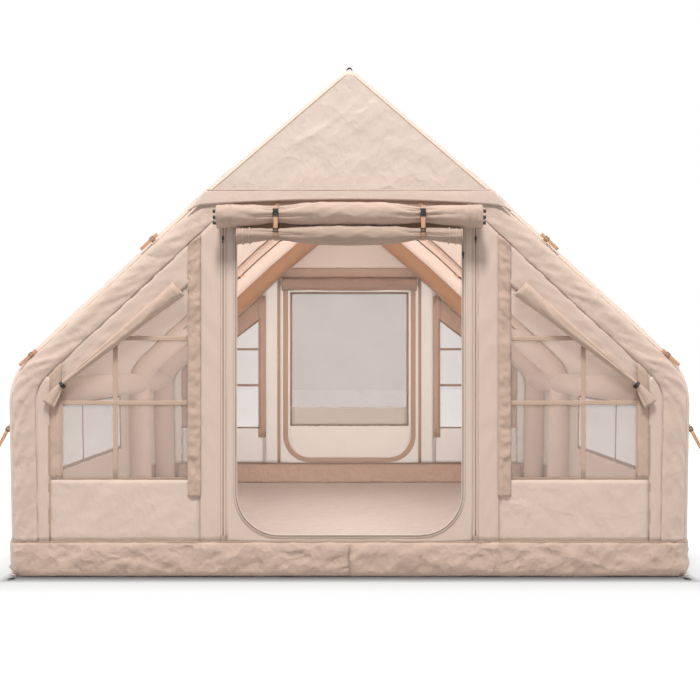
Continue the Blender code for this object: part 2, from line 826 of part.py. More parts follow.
OUTER_ROLL_Y = FRONT_Y - COIL_PROUD - SEAT - OUTER_ROLL_RADIUS * ROLL_BACK_SHARE
INNER_ROLL_Y = OUTER_ROLL_Y - INNER_ROLL_SET
INNER_ROLL_REACH = OUTER_ROLL_RADIUS + INNER_ROLL_RADIUS * ROLL_TOP_SHARE + SEAT
INNER_ROLL_Z = OUTER_ROLL_Z - math.sqrt(INNER_ROLL_REACH**2 - INNER_ROLL_SET**2)


def door_roll_stations(half_length, radius, pinch, y, z):
    near = TIE_X - TIE_SEAT_HALF
    far = TIE_X + TIE_SEAT_HALF
    right = [near * i / ROLL_MIDDLE_SPANS for i in range(1, ROLL_MIDDLE_SPANS + 1)]
    right += [far + (half_length - far) * i / ROLL_END_SPANS for i in range(ROLL_END_SPANS + 1)]
    stations = []
    for x in [-x for x in right[::-1]] + [0] + right:
        off = max(abs(abs(x) - TIE_X) - TIE_SEAT_HALF, 0)
        grip = math.exp(-((off / TIE_PINCH_WIDTH) ** 2))
        size = radius - (radius - pinch) * grip
        centre = Vector((x, y, z))
        stations.append((centre, Vector((0, 0, -1)), Vector((0, -1, 0)), size, size, grip))
    return stations


def make_door_rolls():
    outer = (OUTER_ROLL_HALF_LENGTH, OUTER_ROLL_RADIUS, OUTER_ROLL_PINCH)
    inner = (INNER_ROLL_HALF_LENGTH, INNER_ROLL_RADIUS, INNER_ROLL_PINCH)
    make_roll("outer_door_roll", door_roll_stations(*outer, OUTER_ROLL_Y, OUTER_ROLL_Z))
    make_roll("inner_door_roll", door_roll_stations(*inner, INNER_ROLL_Y, INNER_ROLL_Z))
    rear = (REAR_ROLL_HALF_LENGTH, REAR_ROLL_RADIUS, REAR_ROLL_RADIUS)
    rear_y = WHOLE_DEPTH / 2 - SKIN - SEAT - REAR_ROLL_RADIUS * ROLL_BACK_SHARE
    make_roll("rear_door_roll", door_roll_stations(*rear, rear_y, REAR_ROLL_Z))


# Door ties: a webbing loop round both rolls, closed in front by a side-release buckle
TIE_CLEARANCE = 0.0004
TIE_TAB_RISE = 0.089
TIE_TAB_TOP = OUTER_ROLL_Z + TIE_TAB_RISE
TIE_TAB_EASE = 0.0002
TIE_WALL_RISE = 0.058
TIE_LEAVES_WALL = INNER_ROLL_Z + TIE_WALL_RISE
TIE_TAIL_DROP = 0.017
TIE_TAIL = INNER_ROLL_Z - TIE_TAIL_DROP
TIE_STEPS = 8
TIE_LOCK_SET = 0.0026
BUCKLE_WIDTH = 0.034
BUCKLE_DEPTH = 0.008
BUCKLE_DROP = 0.001
BUCKLE_MOUTH = OUTER_ROLL_Z - BUCKLE_DROP
SOCKET_LENGTH = 0.026
SOCKET_HOLLOW = (0.028, 0.005, 0.018)
SOCKET_WINDOW = (0.0036, 0.005, 0.013)
PLUG_LENGTH = 0.016
PRONG_WIDTH = 0.004
PRONG_LENGTH = 0.016
LOCK_WIDTH = 0.030
LOCK_LENGTH = 0.024
LOCK_RISE = 0.003
LOCK_SILL = INNER_ROLL_Z + LOCK_RISE
LOCK_SLOT = (0.026, 0.0026)
LOCK_WINDOW_HALVES = (0.009, 0.006)
TIE_FRONT_Y = OUTER_ROLL_Y - OUTER_ROLL_PINCH - TIE_CLEARANCE - BUCKLE_DEPTH / 2
TIE_BACK_Y = FRONT_Y - SEAT - STRAP / 2


def tie_path():
    """From the buckle over the outer roll, down the wall and under the inner roll."""
    middle = (TIE_FRONT_Y + TIE_BACK_Y) / 2
    half = (TIE_BACK_Y - TIE_FRONT_Y) / 2
    spring = BUCKLE_MOUTH + SOCKET_LENGTH - BITE
    rise = OUTER_ROLL_Z + OUTER_ROLL_PINCH + TIE_CLEARANCE + STRAP / 2 - spring
    path = [Vector((TIE_FRONT_Y, spring - BITE))]
    for i in range(TIE_STEPS + 1):
        turn = math.pi * i / TIE_STEPS
        path.append(Vector((middle - half * math.cos(turn), spring + rise * math.sin(turn))))
    leave = Vector((TIE_BACK_Y, TIE_LEAVES_WALL))
    path.append(leave)
    roll = Vector((INNER_ROLL_Y, INNER_ROLL_Z))
    radius = INNER_ROLL_PINCH + TIE_CLEARANCE + STRAP / 2
    spoke = leave - roll
    first = math.atan2(spoke.y, spoke.x) - math.acos(radius / spoke.length)
    for i in range(TIE_STEPS + 1):
        turn = first + (-math.pi - first) * i / TIE_STEPS
        path.append(roll + radius * Vector((math.cos(turn), math.sin(turn))))
    path.append(Vector((TIE_FRONT_Y + TIE_LOCK_SET, LOCK_SILL + 2 * BITE)))
    return path


def tie_box(x, width, depth, low, high):
    bm = bmesh.new()
    near = (x - width / 2, TIE_FRONT_Y - depth / 2, low)
    box(bm, near, (x + width / 2, TIE_FRONT_Y + depth / 2, high))
    return bm


def make_door_tie(side_name, side):
    x = side * TIE_X

    def place(a, b, depth):
        return Vector((x + depth, a, b))

    strip = plate(ribbon(tie_path(), STRAP), -STRAP_WIDTH / 2, STRAP_WIDTH / 2, place)
    tie = finish(f"{side_name}_door_tie_loop", strip, WEBBING_TAN, WEBBING_ROUGHNESS)
    tab = bmesh.new()
    half = STRAP_WIDTH / 2 - BITE
    tab_front = TIE_BACK_Y - STRAP / 2 + TIE_TAB_EASE
    tab_back = TIE_BACK_Y + STRAP / 2 - TIE_TAB_EASE
    box(tab, (x - half, tab_front, BUCKLE_MOUTH), (x + half, tab_back, TIE_TAB_TOP))
    top = BUCKLE_MOUTH + SOCKET_LENGTH
    socket = tie_box(x, BUCKLE_WIDTH, BUCKLE_DEPTH, BUCKLE_MOUTH, top)
    lock = tie_box(x, LOCK_WIDTH, BUCKLE_DEPTH, LOCK_SILL, LOCK_SILL + LOCK_LENGTH)
    for name, piece in (("tab", tab), ("socket", socket), ("lock", lock)):
        combine(tie, guide(f"join_{side_name}_tie_{name}", piece), "UNION")
    width, depth, length = SOCKET_HOLLOW
    hollow = tie_box(x, width, depth, BUCKLE_MOUTH - OVERRUN, BUCKLE_MOUTH + length)
    height, low, high = SOCKET_WINDOW
    window = tie_box(x, BUCKLE_WIDTH + OVERRUN, height, BUCKLE_MOUTH + low, BUCKLE_MOUTH + high)
    slot = tie_box(x, *LOCK_SLOT, LOCK_SILL - BITE, LOCK_SILL + LOCK_LENGTH + OVERRUN)
    view = bmesh.new()
    half_width, half_height = LOCK_WINDOW_HALVES
    middle = LOCK_SILL + LOCK_LENGTH / 2
    front = TIE_FRONT_Y - BUCKLE_DEPTH
    low_corner = (x - half_width, front, middle - half_height)
    box(view, low_corner, (x + half_width, TIE_FRONT_Y, middle + half_height))
    for name, piece in (("hollow", hollow), ("window", window), ("slot", slot), ("view", view)):
        combine(tie, guide(f"cut_{side_name}_tie_{name}", piece), "DIFFERENCE")


def make_tie_buckle(side_name, side):
    """Plug half of the buckle with its strap, which runs down through the ladder lock."""
    x = side * TIE_X
    top = BUCKLE_MOUTH - SEAT
    body = tie_box(x, BUCKLE_WIDTH, BUCKLE_DEPTH, top - PLUG_LENGTH, top)
    plug = finish(f"{side_name}_door_tie_buckle", body, PLASTIC_BLACK, PLASTIC_ROUGHNESS)
    strap = tie_box(x, STRAP_WIDTH, STRAP, TIE_TAIL, top - PLUG_LENGTH + BITE)
    combine(plug, guide(f"join_{side_name}_tie_strap", strap), "UNION")
    width, depth, length = SOCKET_HOLLOW
    edge = width / 2 - TIE_CLEARANCE - PRONG_WIDTH / 2
    thick = depth - 2 * TIE_CLEARANCE
    for name, shift in (("near", -edge), ("middle", 0), ("far", edge)):
        prong = tie_box(x + shift, PRONG_WIDTH, thick, top - BITE, top + PRONG_LENGTH)
        combine(plug, guide(f"join_{side_name}_prong_{name}", prong), "UNION")


# Window flap rolls: wide at the door, gathered at a tie, flared below it
FLAP_TOP = Vector((0.980, 1.664))
FLAP_TIE = Vector((1.662, 1.110))
FLAP_TAIL = Vector((1.732, 1.000))
FLAP_TOP_HALVES = Vector((0.050, 0.034))
FLAP_TIE_HALF = 0.015
FLAP_TAIL_HALVES = Vector((0.044, 0.014))
FLAP_TIE_OFF = 0.006
FLAP_SPANS = 10
FLAP_TAIL_SPANS = 3
KEEPER_WIDTH = 0.022
KEEPER_BUCKLE = Vector((0.030, 0.020, 0.008))


def flap_station(side, point, along, halves, lift, grip):
    across = Vector((side * along.y, 0, -along.x))
    y = FRONT_Y - SEAT - lift - halves.y * ROLL_BACK_SHARE
    return (Vector((side * point.x, y, point.y)), across, Vector((0, -1, 0)), *halves, grip)


def flap_stations(side):
    tie_halves = Vector((FLAP_TIE_HALF, FLAP_TIE_HALF))
    stations = []
    along = (FLAP_TIE - FLAP_TOP).normalized()
    for i in range(FLAP_SPANS + 1):
        share = i / FLAP_SPANS
        point = FLAP_TOP.lerp(FLAP_TIE, share)
        halves = FLAP_TOP_HALVES.lerp(tie_halves, share)
        stations.append(flap_station(side, point, along, halves, FLAP_TIE_OFF * share, share))
    along = (FLAP_TAIL - FLAP_TIE).normalized()
    for i in range(FLAP_TAIL_SPANS):
        share = (i + 1) / FLAP_TAIL_SPANS
        point = FLAP_TIE.lerp(FLAP_TAIL, share)
        halves = tie_halves.lerp(FLAP_TAIL_HALVES, share)
        stations.append(flap_station(side, point, along, halves, FLAP_TIE_OFF, 1 - share))
    return stations


def make_flap(side_name, side):
    """The rolled window flap and the webbing keeper buckled round its gathered neck."""
    make_roll(f"{side_name}_flap_roll", flap_stations(side))
    length = (FLAP_TIE - FLAP_TOP).length
    along = (FLAP_TIE - FLAP_TOP).normalized()
    run = Vector((side * along.x, 0, along.y))
    across = Vector((side * along.y, 0, -along.x))
    out = Vector((0, -1, 0))
    y = FRONT_Y - SEAT - FLAP_TIE_OFF - FLAP_TIE_HALF * ROLL_BACK_SHARE
    centre = Vector((side * FLAP_TIE.x, y, FLAP_TIE.y))
    back = -run * KEEPER_WIDTH
    flare = KEEPER_WIDTH * (FLAP_TOP_HALVES.x - FLAP_TIE_HALF) / length
    rings = []
    for shift, extra in ((0, SEAT), (0, SEAT + STRAP), (1, SEAT + STRAP), (1, SEAT)):
        size = FLAP_TIE_HALF + flare * shift + extra
        ring = []
        for i in range(ROLL_SIDES):
            turn = math.tau * i / ROLL_SIDES
            spoke = across * math.cos(turn) + out * math.sin(turn)
            ring.append(centre + back * shift + spoke * size)
        rings.append(ring)
    bm = bmesh.new()
    rings_to_body(bm, rings, closed=True)
    keeper = finish(f"{side_name}_flap_keeper", bm, PLASTIC_BLACK, PLASTIC_ROUGHNESS)
    reach = FLAP_TIE_HALF + SEAT + STRAP / 2 + KEEPER_BUCKLE.z / 2
    block = bmesh.new()
    verts = bmesh.ops.create_cube(block, size=1)["verts"]
    bmesh.ops.scale(block, verts=verts, vec=KEEPER_BUCKLE)
    radial = (across + out).normalized()
    turned = Matrix((run.cross(radial), run, radial)).transposed().to_4x4()
    bmesh.ops.transform(block, verts=verts, matrix=turned)
    bmesh.ops.translate(block, verts=verts, vec=centre + back / 2 + radial * reach)
    combine(keeper, guide(f"join_{side_name}_keeper_buckle", block), "UNION")


# Zip sliders: a grooved body that runs on its coil, with a lug and a cross pin for the pull
SLIDER_HALF_WIDTH = 0.006
SLIDER_END_HALF_WIDTH = 0.0046
SLIDER_HALF_LENGTH = 0.012
SLIDER_WAIST = 0.004
SLIDER_WALL = 0.002
LUG_HALF = 0.0015
LUG_REACH = 0.002
PIN_RADIUS = 0.001
PIN_HALF_LENGTH = 0.004
PIN_OFF = 0.0026
PIN_SIDES = 12
PULL_HALF_WIDTH = 0.0035
PULL_LENGTH = 0.030
PULL_THICK = 0.0016
PULL_EYE = 0.00125
PULL_EAR = 0.0022
PULL_EAR_GAP = 0.0003
PULL_SHOULDER = 0.0014
PULL_NOTCH = 0.0028
DOOR_SLIDER_DROP = 0.123
ROUND_SLIDER_DROP = 0.213
DOOR_SLIDER_Z = OUTER_ROLL_Z - DOOR_SLIDER_DROP
ROUND_SLIDER_Z = OUTER_ROLL_Z - ROUND_SLIDER_DROP
GROOVE_FLOOR_Y = FRONT_Y - COIL_PROUD - SEAT
SLIDER_FACE_Y = GROOVE_FLOOR_Y - SLIDER_WALL
PIN_Y = SLIDER_FACE_Y - PIN_OFF


def rod(centre, radius, start, end):
    """A rod across the tent between two distances from its centre."""
    rings = []
    for shift in (start, end):
        ring = []
        for i in range(PIN_SIDES):
            turn = math.tau * i / PIN_SIDES
            spoke = Vector((shift, radius * math.cos(turn), radius * math.sin(turn)))
            ring.append(centre + spoke)
        rings.append(ring)
    bm = bmesh.new()
    rings_to_body(bm, rings)
    return bm


def make_zip_slider(name, x, z):
    right = [
        (SLIDER_END_HALF_WIDTH, -SLIDER_HALF_LENGTH),
        (SLIDER_HALF_WIDTH, -SLIDER_WAIST),
        (SLIDER_HALF_WIDTH, SLIDER_WAIST),
        (SLIDER_END_HALF_WIDTH, SLIDER_HALF_LENGTH),
    ]
    loop = [(x + a, z + b) for a, b in right] + [(x - a, z + b) for a, b in right[::-1]]
    back = FRONT_Y - SEAT
    body = plate(loop, SLIDER_FACE_Y, back, upright)
    pin = Vector((x, PIN_Y, z))
    slider = finish(name, body, PLASTIC_BLACK, PLASTIC_ROUGHNESS, origin=pin)
    groove = bmesh.new()
    half = COIL_WIDTH / 2 + SEAT
    low = (x - half, GROOVE_FLOOR_Y, z - SLIDER_HALF_LENGTH - OVERRUN)
    box(groove, low, (x + half, FRONT_Y, z + SLIDER_HALF_LENGTH + OVERRUN))
    combine(slider, guide(f"cut_{name}_groove", groove), "DIFFERENCE")
    lug = bmesh.new()
    low = (x - LUG_HALF, PIN_Y - LUG_REACH, z - LUG_REACH)
    box(lug, low, (x + LUG_HALF, SLIDER_FACE_Y + BITE, z + LUG_REACH))
    combine(slider, guide(f"join_{name}_lug", lug), "UNION")
    rivet = rod(pin, PIN_RADIUS, -PIN_HALF_LENGTH, PIN_HALF_LENGTH)
    combine(slider, guide(f"join_{name}_pin", rivet), "UNION")
    make_pull(f"{name}_pull", pin)


def make_pull(name, pin):
    """A flat tab whose two ears turn on the slider's pin, one at each side of the lug."""
    gap = LUG_HALF + PULL_EAR_GAP
    outer = [
        (-PULL_HALF_WIDTH, -PULL_SHOULDER),
        (-gap, -PULL_SHOULDER),
        (-gap, -PULL_NOTCH),
        (gap, -PULL_NOTCH),
        (gap, -PULL_SHOULDER),
        (PULL_HALF_WIDTH, -PULL_SHOULDER),
        (PULL_HALF_WIDTH, -PULL_LENGTH),
        (-PULL_HALF_WIDTH, -PULL_LENGTH),
    ]
    loop = [(pin.x + a, pin.z + b) for a, b in outer]
    near = pin.y - PULL_THICK / 2
    flat = plate(loop, near, near + PULL_THICK, upright)
    pull = finish(name, flat, PLASTIC_BLACK, PLASTIC_ROUGHNESS, origin=pin)
    ears = (("left", -PULL_HALF_WIDTH, -gap), ("right", gap, PULL_HALF_WIDTH))
    for ear_name, start, end in ears:
        ear = rod(pin, PULL_EAR, start, end)
        combine(pull, guide(f"join_{name}_{ear_name}_ear", ear), "UNION")
    reach = PULL_HALF_WIDTH + OVERRUN
    combine(pull, guide(f"cut_{name}_eye", rod(pin, PULL_EYE, -reach, reach)), "DIFFERENCE")


# Guy tabs: a root of cloth on the envelope, a ladder lock, and the strap through it
GUY_WIDTH = 0.020
GUY_HEAD = 0.043
GUY_TAIL = 0.089
GUY_LOCK_LENGTH = 0.026
GUY_LOCK_WIDTH = 0.028
GUY_LOCK_DEPTH = 0.005
GUY_LOCK_HOLE_HALVES = (0.008, 0.0095)
GUY_ROOT_HALF = 0.034
GUY_ROOT_NECK = 0.012
GUY_ROOT_SINK = 0.002
GUY_SET = 0.013
UPPER_TAB_RUN = 0.4165
UPPER_TAB_SINK = 0.0157
MIDDLE_TAB_RUN = 1.3889
MIDDLE_TAB_SINK = 0.0302
EAVE_TAB_SET = 0.006
EAVE_TAB_DROP = 0.3324
EAVE_TAB_OFF = 0.0209
EAVE_TAB_ROOT_RISES = (0.0504, 0.0174)
EAVE_TAB_NECK = 0.009
GUY_LEAN = math.radians(28.6)
GUY_ALONG = Vector((math.sin(GUY_LEAN), -math.cos(GUY_LEAN)))
EAVE_TAB_Z = EAVE_HEIGHT - EAVE_TAB_DROP
EAVE_TAB = Vector((wall_face(EAVE_TAB_Z) + EAVE_TAB_OFF, EAVE_TAB_Z))
GUY_FOLD = 0.095
GUY_STRAP_END = 0.190
GUY_EYE_RADIUS = 0.005


def rounding_inset(depth):
    """How far the sleeve's rounding lies inside the outline at a distance past the arch."""
    line = []
    for i in range(CORNER_STEPS + 1):
        turn = math.pi / 2 * i / CORNER_STEPS
        line.append((ARCH_INSET * math.sin(turn), ARCH_INSET * (1 - math.cos(turn))))
    for (a, low), (b, high) in zip(line, line[1:]):
        if a <= depth <= b:
            return low + (high - low) * (depth - a) / (b - a)


def guy_pieces(side, y, centre, along, out, neck, foot, head, tail):
    """The root, ladder lock and strap of one tab, each with its own thickness."""
    def world(s, n):
        point = centre + along * s + out * n
        return (side * point.x, point.y)

    def oblong(start, end, half):
        return [world(start, -half), world(end, -half), world(end, half), world(start, half)]

    hole_along, hole_across = GUY_LOCK_HOLE_HALVES
    half = GUY_LOCK_LENGTH / 2
    lock = oblong(-half, half, GUY_LOCK_WIDTH / 2)
    hole = oblong(-hole_along, hole_along, hole_across)
    depth = GUY_LOCK_DEPTH / 2
    thin = STRAP / 2
    root_thin = thin - TIE_TAB_EASE
    root = [world(s, n) for s, n in neck] + [(side * p.x, p.y) for p in foot]
    return {
        "root": plate(root, y - root_thin, y + root_thin, upright),
        "lock": plate(lock, y - depth, y + depth, upright, [hole]),
        "strap": plate(oblong(-head, tail, GUY_WIDTH / 2), y - thin, y + thin, upright),
    }


def slope_tab(side, facing, run, sink, seat):
    """A tab on the sloping roof, its root standing on the rounding of the end arch."""
    eave = Vector((EAVE_HALF_WIDTH, EAVE_HEIGHT))
    knee = Vector((KNEE_HALF_WIDTH, KNEE_HEIGHT))
    along = (eave - knee).normalized()
    out = inward(along)
    centre = knee + along * run - out * sink
    past = ARCH_INSET - GUY_SET - STRAP / 2
    base = centre - out * (rounding_inset(past) - sink - seat)
    edge = -GUY_LOCK_WIDTH / 2 + BITE
    neck = [(-GUY_ROOT_NECK, edge), (GUY_ROOT_NECK, edge)]
    foot = [base + along * GUY_ROOT_HALF, base - along * GUY_ROOT_HALF]
    y = facing * (WHOLE_DEPTH / 2 - GUY_SET)
    return guy_pieces(side, y, centre, along, out, neck, foot, GUY_HEAD, GUY_TAIL)


def eave_tab(side, facing, seat):
    """The tab at the eave, its root standing on the side wall just behind the arch."""
    edge = -GUY_LOCK_LENGTH / 2 + BITE
    neck = [(edge, -EAVE_TAB_NECK), (edge, EAVE_TAB_NECK)]
    foot = []
    for rise in EAVE_TAB_ROOT_RISES:
        z = EAVE_TAB_Z + rise
        foot.append(Vector((wall_face(z) + seat, z)))
    y = facing * (REAR_ARCH_Y - EAVE_TAB_SET)
    bar = GUY_LOCK_LENGTH / 2 - BITE
    across = inward(GUY_ALONG)
    return guy_pieces(side, y, EAVE_TAB, GUY_ALONG, across, neck, foot, bar, bar)


def make_guy_tab(name, pieces):
    tab = finish(name, pieces["root"], WEBBING_TAN, WEBBING_ROUGHNESS)
    for piece in ("lock", "strap"):
        combine(tab, guide(f"join_{name}_{piece}", pieces[piece]), "UNION")


def make_guy_tabs(rear_sleeve, side_walls):
    """Front tabs are pieces of their own; the rear ones are sewn to sleeve and side wall."""
    slopes = (
        ("upper", UPPER_TAB_RUN, UPPER_TAB_SINK),
        ("middle", MIDDLE_TAB_RUN, MIDDLE_TAB_SINK),
    )
    for side_name, side in LEFT_AND_RIGHT:
        for place, run, sink in slopes:
            name = f"{side_name}_guy_tab_{place}"
            make_guy_tab(name, slope_tab(side, -1, run, sink, SEAT))
            for piece, bm in slope_tab(side, 1, run, sink, -GUY_ROOT_SINK).items():
                combine(rear_sleeve, guide(f"join_rear_{name}_{piece}", bm), "UNION")
        name = f"{side_name}_guy_tab_eave"
        make_guy_tab(name, eave_tab(side, -1, SEAT))
        for piece, bm in eave_tab(side, 1, -GUY_ROOT_SINK).items():
            combine(side_walls[side_name], guide(f"join_rear_{name}_{piece}", bm), "UNION")


def make_guy_strap(side_name, side):
    """The taut strap below an eave tab: doubled at its end into a sewn eye."""
    half = STRAP / 2
    radius = GUY_EYE_RADIUS + STRAP
    gap = math.asin(STRAP / radius)
    start = GUY_LOCK_LENGTH / 2 + SEAT
    outer = [(start, -half), (GUY_FOLD, -half), (GUY_FOLD, -STRAP)]
    for i in range(PIN_SIDES + 1):
        turn = -math.pi + gap + (math.tau - 2 * gap) * i / PIN_SIDES
        outer.append((GUY_STRAP_END + radius * math.cos(turn), radius * math.sin(turn)))
    outer += [(GUY_FOLD, STRAP), (GUY_FOLD, half), (start, half)]
    eye = []
    for i in range(PIN_SIDES):
        turn = math.tau * i / PIN_SIDES
        hole = GUY_EYE_RADIUS
        eye.append((GUY_STRAP_END + hole * math.cos(turn), hole * math.sin(turn)))
    across = inward(GUY_ALONG)
    y = FRONT_ARCH_Y + EAVE_TAB_SET

    def place(a, b, depth):
        point = EAVE_TAB + GUY_ALONG * a + across * depth
        return Vector((side * point.x, y + b, point.y))

    strap = plate(outer, -GUY_WIDTH / 2, GUY_WIDTH / 2, place, [eye])
    finish(f"{side_name}_guy_strap", strap, WEBBING_TAN, WEBBING_ROUGHNESS)


# Inflation valve at the foot of the rear sleeve, and its quarter-turn cap
VALVE_INSET = 0.137
VALVE_Z = 0.45
VALVE_SIDES = 24
VALVE_BASE = (0.028, 0.004)
VALVE_NECK = (0.017, 0.009)
VALVE_BORE = (0.010, 0.002)
CAP_RADIUS = 0.021
CAP_FLUTE_SHARE = 0.93
CAP_LENGTH = 0.0085
CAP_HOLLOW = 0.0052
CAP_CLEARANCE = 0.0005


def turned(profile, centre, flutes=()):
    """A round body about a line along the tent, from its (radius, distance) profile."""
    rings = []
    for row, (radius, far) in enumerate(profile):
        ring = []
        for i in range(VALVE_SIDES):
            turn = math.tau * i / VALVE_SIDES
            reach = radius * CAP_FLUTE_SHARE if row in flutes and i % 2 else radius
            ring.append(centre + Vector((reach * math.cos(turn), far, reach * math.sin(turn))))
        rings.append(ring)
    bm = bmesh.new()
    rings_to_body(bm, rings)
    return bm


def make_valve():
    centre = Vector((wall_face(VALVE_Z) - VALVE_INSET, WHOLE_DEPTH / 2 + SEAT, VALVE_Z))
    base_radius, base = VALVE_BASE
    neck_radius, neck = VALVE_NECK
    bore_radius, bore_floor = VALVE_BORE
    valve = [
        (base_radius, 0),
        (base_radius, base),
        (neck_radius, base),
        (neck_radius, neck),
        (bore_radius, neck),
        (bore_radius, bore_floor),
    ]
    finish("inflation_valve", turned(valve, centre), PLASTIC_BLACK, PLASTIC_ROUGHNESS, origin=centre)
    rim = base + SEAT
    top = rim + CAP_LENGTH
    inside = neck_radius + CAP_CLEARANCE
    cap = [(inside, rim + CAP_HOLLOW), (inside, rim), (CAP_RADIUS, rim), (CAP_RADIUS, top)]
    body = turned(cap, centre, flutes=(2, 3))
    finish("valve_cap", body, PLASTIC_BLACK, PLASTIC_ROUGHNESS, origin=centre)


clear_scene()
make_air_frame()
side_walls = {}
for side_name, side in LEFT_AND_RIGHT:
    make_roof_panel(f"{side_name}_roof_panel", side)
    side_walls[side_name] = make_side_wall(side_name, side)
    make_front_wall(side_name, side)
    make_flap(side_name, side)
    make_door_tie(side_name, side)
    make_tie_buckle(side_name, side)
    make_guy_strap(side_name, side)
    make_zip_slider(f"{side_name}_door_zip_slider", side * ZIP_HALF_SPAN, DOOR_SLIDER_Z)
make_zip_slider(
    "round_door_zip_slider",
    OPENING_HALF_WIDTH + COIL_SET + COIL_WIDTH / 2,
    ROUND_SLIDER_Z,
)
make_sleeve("front_arch_sleeve", -1)
make_guy_tabs(make_sleeve("rear_arch_sleeve", 1), side_walls)
make_door_surround()
make_rear_wall()
make_hood()
make_peak_loop()
make_door_rolls()
make_valve()
make_tub()
for name, centre, facing in stake_places():
    make_stake_ring(name, centre, facing)
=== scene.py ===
import math

import bmesh
import bpy
from mathutils import Matrix, Vector, noise

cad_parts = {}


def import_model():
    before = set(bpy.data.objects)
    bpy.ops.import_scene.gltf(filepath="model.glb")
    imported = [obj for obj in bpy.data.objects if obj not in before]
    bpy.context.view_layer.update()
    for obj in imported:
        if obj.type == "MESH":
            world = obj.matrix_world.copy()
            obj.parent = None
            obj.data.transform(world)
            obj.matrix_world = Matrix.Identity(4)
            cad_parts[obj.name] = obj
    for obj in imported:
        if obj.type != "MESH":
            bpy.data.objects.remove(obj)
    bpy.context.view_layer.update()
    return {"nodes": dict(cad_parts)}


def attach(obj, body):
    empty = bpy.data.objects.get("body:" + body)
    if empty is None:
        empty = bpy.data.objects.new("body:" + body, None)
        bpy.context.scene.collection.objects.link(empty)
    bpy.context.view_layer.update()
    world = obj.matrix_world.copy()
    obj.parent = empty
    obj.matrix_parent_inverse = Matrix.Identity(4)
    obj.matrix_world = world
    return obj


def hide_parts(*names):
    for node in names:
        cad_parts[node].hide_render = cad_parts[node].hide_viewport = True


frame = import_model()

# Camera. The tent is seen square on from the front, from six metres off and just under
# the eave, as in the photograph.
camera_data = bpy.data.cameras.new("camera")
camera_data.sensor_width = 36
camera_data.lens = 40.415
camera_data.shift_x = 0.0009
camera_data.shift_y = 0.0186
camera = bpy.data.objects.new("camera", camera_data)
camera.location = (0, -6.345, 1.238)
camera.rotation_euler = (math.pi / 2, 0, 0)
bpy.context.scene.collection.objects.link(camera)
bpy.context.scene.camera = camera

# Guy straps. A tan webbing strap runs down from each front eave to a stake outside the
# picture, so it is taut; its end is turned back and sewn into an eye.
class Wire:
    """A socket of a material's nodes. Sums and products of wires add Math nodes."""

    def __init__(self, tree, socket):
        self.tree = tree
        self.socket = socket

    def node(self, kind, settings=(), sockets=(), out=0):
        made = self.tree.nodes.new("ShaderNode" + kind)
        for name, value in dict(settings).items():
            setattr(made, name, value)
        for place, value in dict(sockets).items():
            if isinstance(value, Wire):
                self.tree.links.new(value.socket, made.inputs[place])
            else:
                made.inputs[place].default_value = value
        return Wire(self.tree, made.outputs[out] if made.outputs else None)

    def math(self, operation, *values):
        return self.node("Math", {"operation": operation}, enumerate(values or (self,)))

    def __add__(self, other):
        return self.math("ADD", self, other)

    def __sub__(self, other):
        return self.math("SUBTRACT", self, other)

    def __rsub__(self, other):
        return self.math("SUBTRACT", other, self)

    def __mul__(self, other):
        return self.math("MULTIPLY", self, other)

    def __truediv__(self, other):
        return self.math("DIVIDE", self, other)

    def __pow__(self, other):
        return self.math("POWER", self, other)

    __radd__ = __add__
    __rmul__ = __mul__

    def sine(self):
        return self.math("SINE", self)

    def clamped(self):
        return self.node("Clamp", (), {0: self})

    def axis(self, number):
        return self.node("SeparateXYZ", (), {0: self}, out=number)

    def bump(self, strength, distance):
        """The normal of a surface whose height this wire gives."""
        return self.node("Bump", (), {"Strength": strength, "Distance": distance, "Height": self})

    def mixed(self, low, high):
        """A colour between two, by this wire's value."""
        return self.node("Mix", {"data_type": "RGBA"}, {0: self, 6: low, 7: high}, out=2)

    def speckle(self, scale, detail=3, stretch=(1, 1, 1)):
        """Cloudy noise on these coordinates, between 0 and 1."""
        laid = self.node("Mapping", (), {0: self, 3: stretch})
        return self.node("TexNoise", (), {"Vector": laid, "Scale": scale, "Detail": detail})


def start_paint(name):
    """A new material and a wire that can start its nodes."""
    made = bpy.data.materials.new(name)
    made.use_nodes = True
    made.node_tree.nodes.clear()
    return made, Wire(made.node_tree, None)


def end_paint(made, start, colour, roughness, normal=None, glow=0, glow_tint=None, **plain):
    """Ends a material in its shader; glow is the share of light that cloth lets through."""
    sockets = {"Base Color": colour, "Roughness": roughness}
    if normal:
        sockets["Normal"] = normal
    shader = start.node("BsdfPrincipled", (), sockets)
    for name, value in plain.items():
        shader.socket.node.inputs[name.replace("_", " ")].default_value = value
    if glow:
        through = start.node("BsdfTranslucent", (), {"Color": glow_tint or colour})
        shader = start.node("MixShader", (), {0: glow, 1: shader, 2: through})
    start.node("OutputMaterial", (), {"Surface": shader})
    return made


def webbing_paint(name, light, dark, pitch=0.0022):
    """Woven tape: ribs across it, two rows of thicker threads along it."""
    made, start = start_paint(name)
    place = start.node("UVMap")
    across = place.axis(0)
    along = place.axis(1)
    ribs = (along * (math.tau / pitch)).sine() * 0.5 + 0.5
    rows = (across * (math.tau / 0.0036)).sine() * 0.5 + 0.5
    worn = place.speckle(60)
    tone = (ribs * 0.35 + rows * 0.25 + worn * 0.5).clamped()
    bump = (ribs + rows).bump(0.5, 0.0006)
    return end_paint(made, start, tone.mixed(dark, light), 0.62 + worn * 0.2, bump,
                     Sheen_Weight=0.25, Sheen_Roughness=0.5)


webbing = webbing_paint("tan_webbing", (0.64, 0.36, 0.21, 1), (0.50, 0.26, 0.145, 1))


def runs(path):
    """How far along a path each of its points is."""
    line = [0]
    for a, b in zip(path, path[1:]):
        line.append(line[-1] + (b - a).length)
    return line


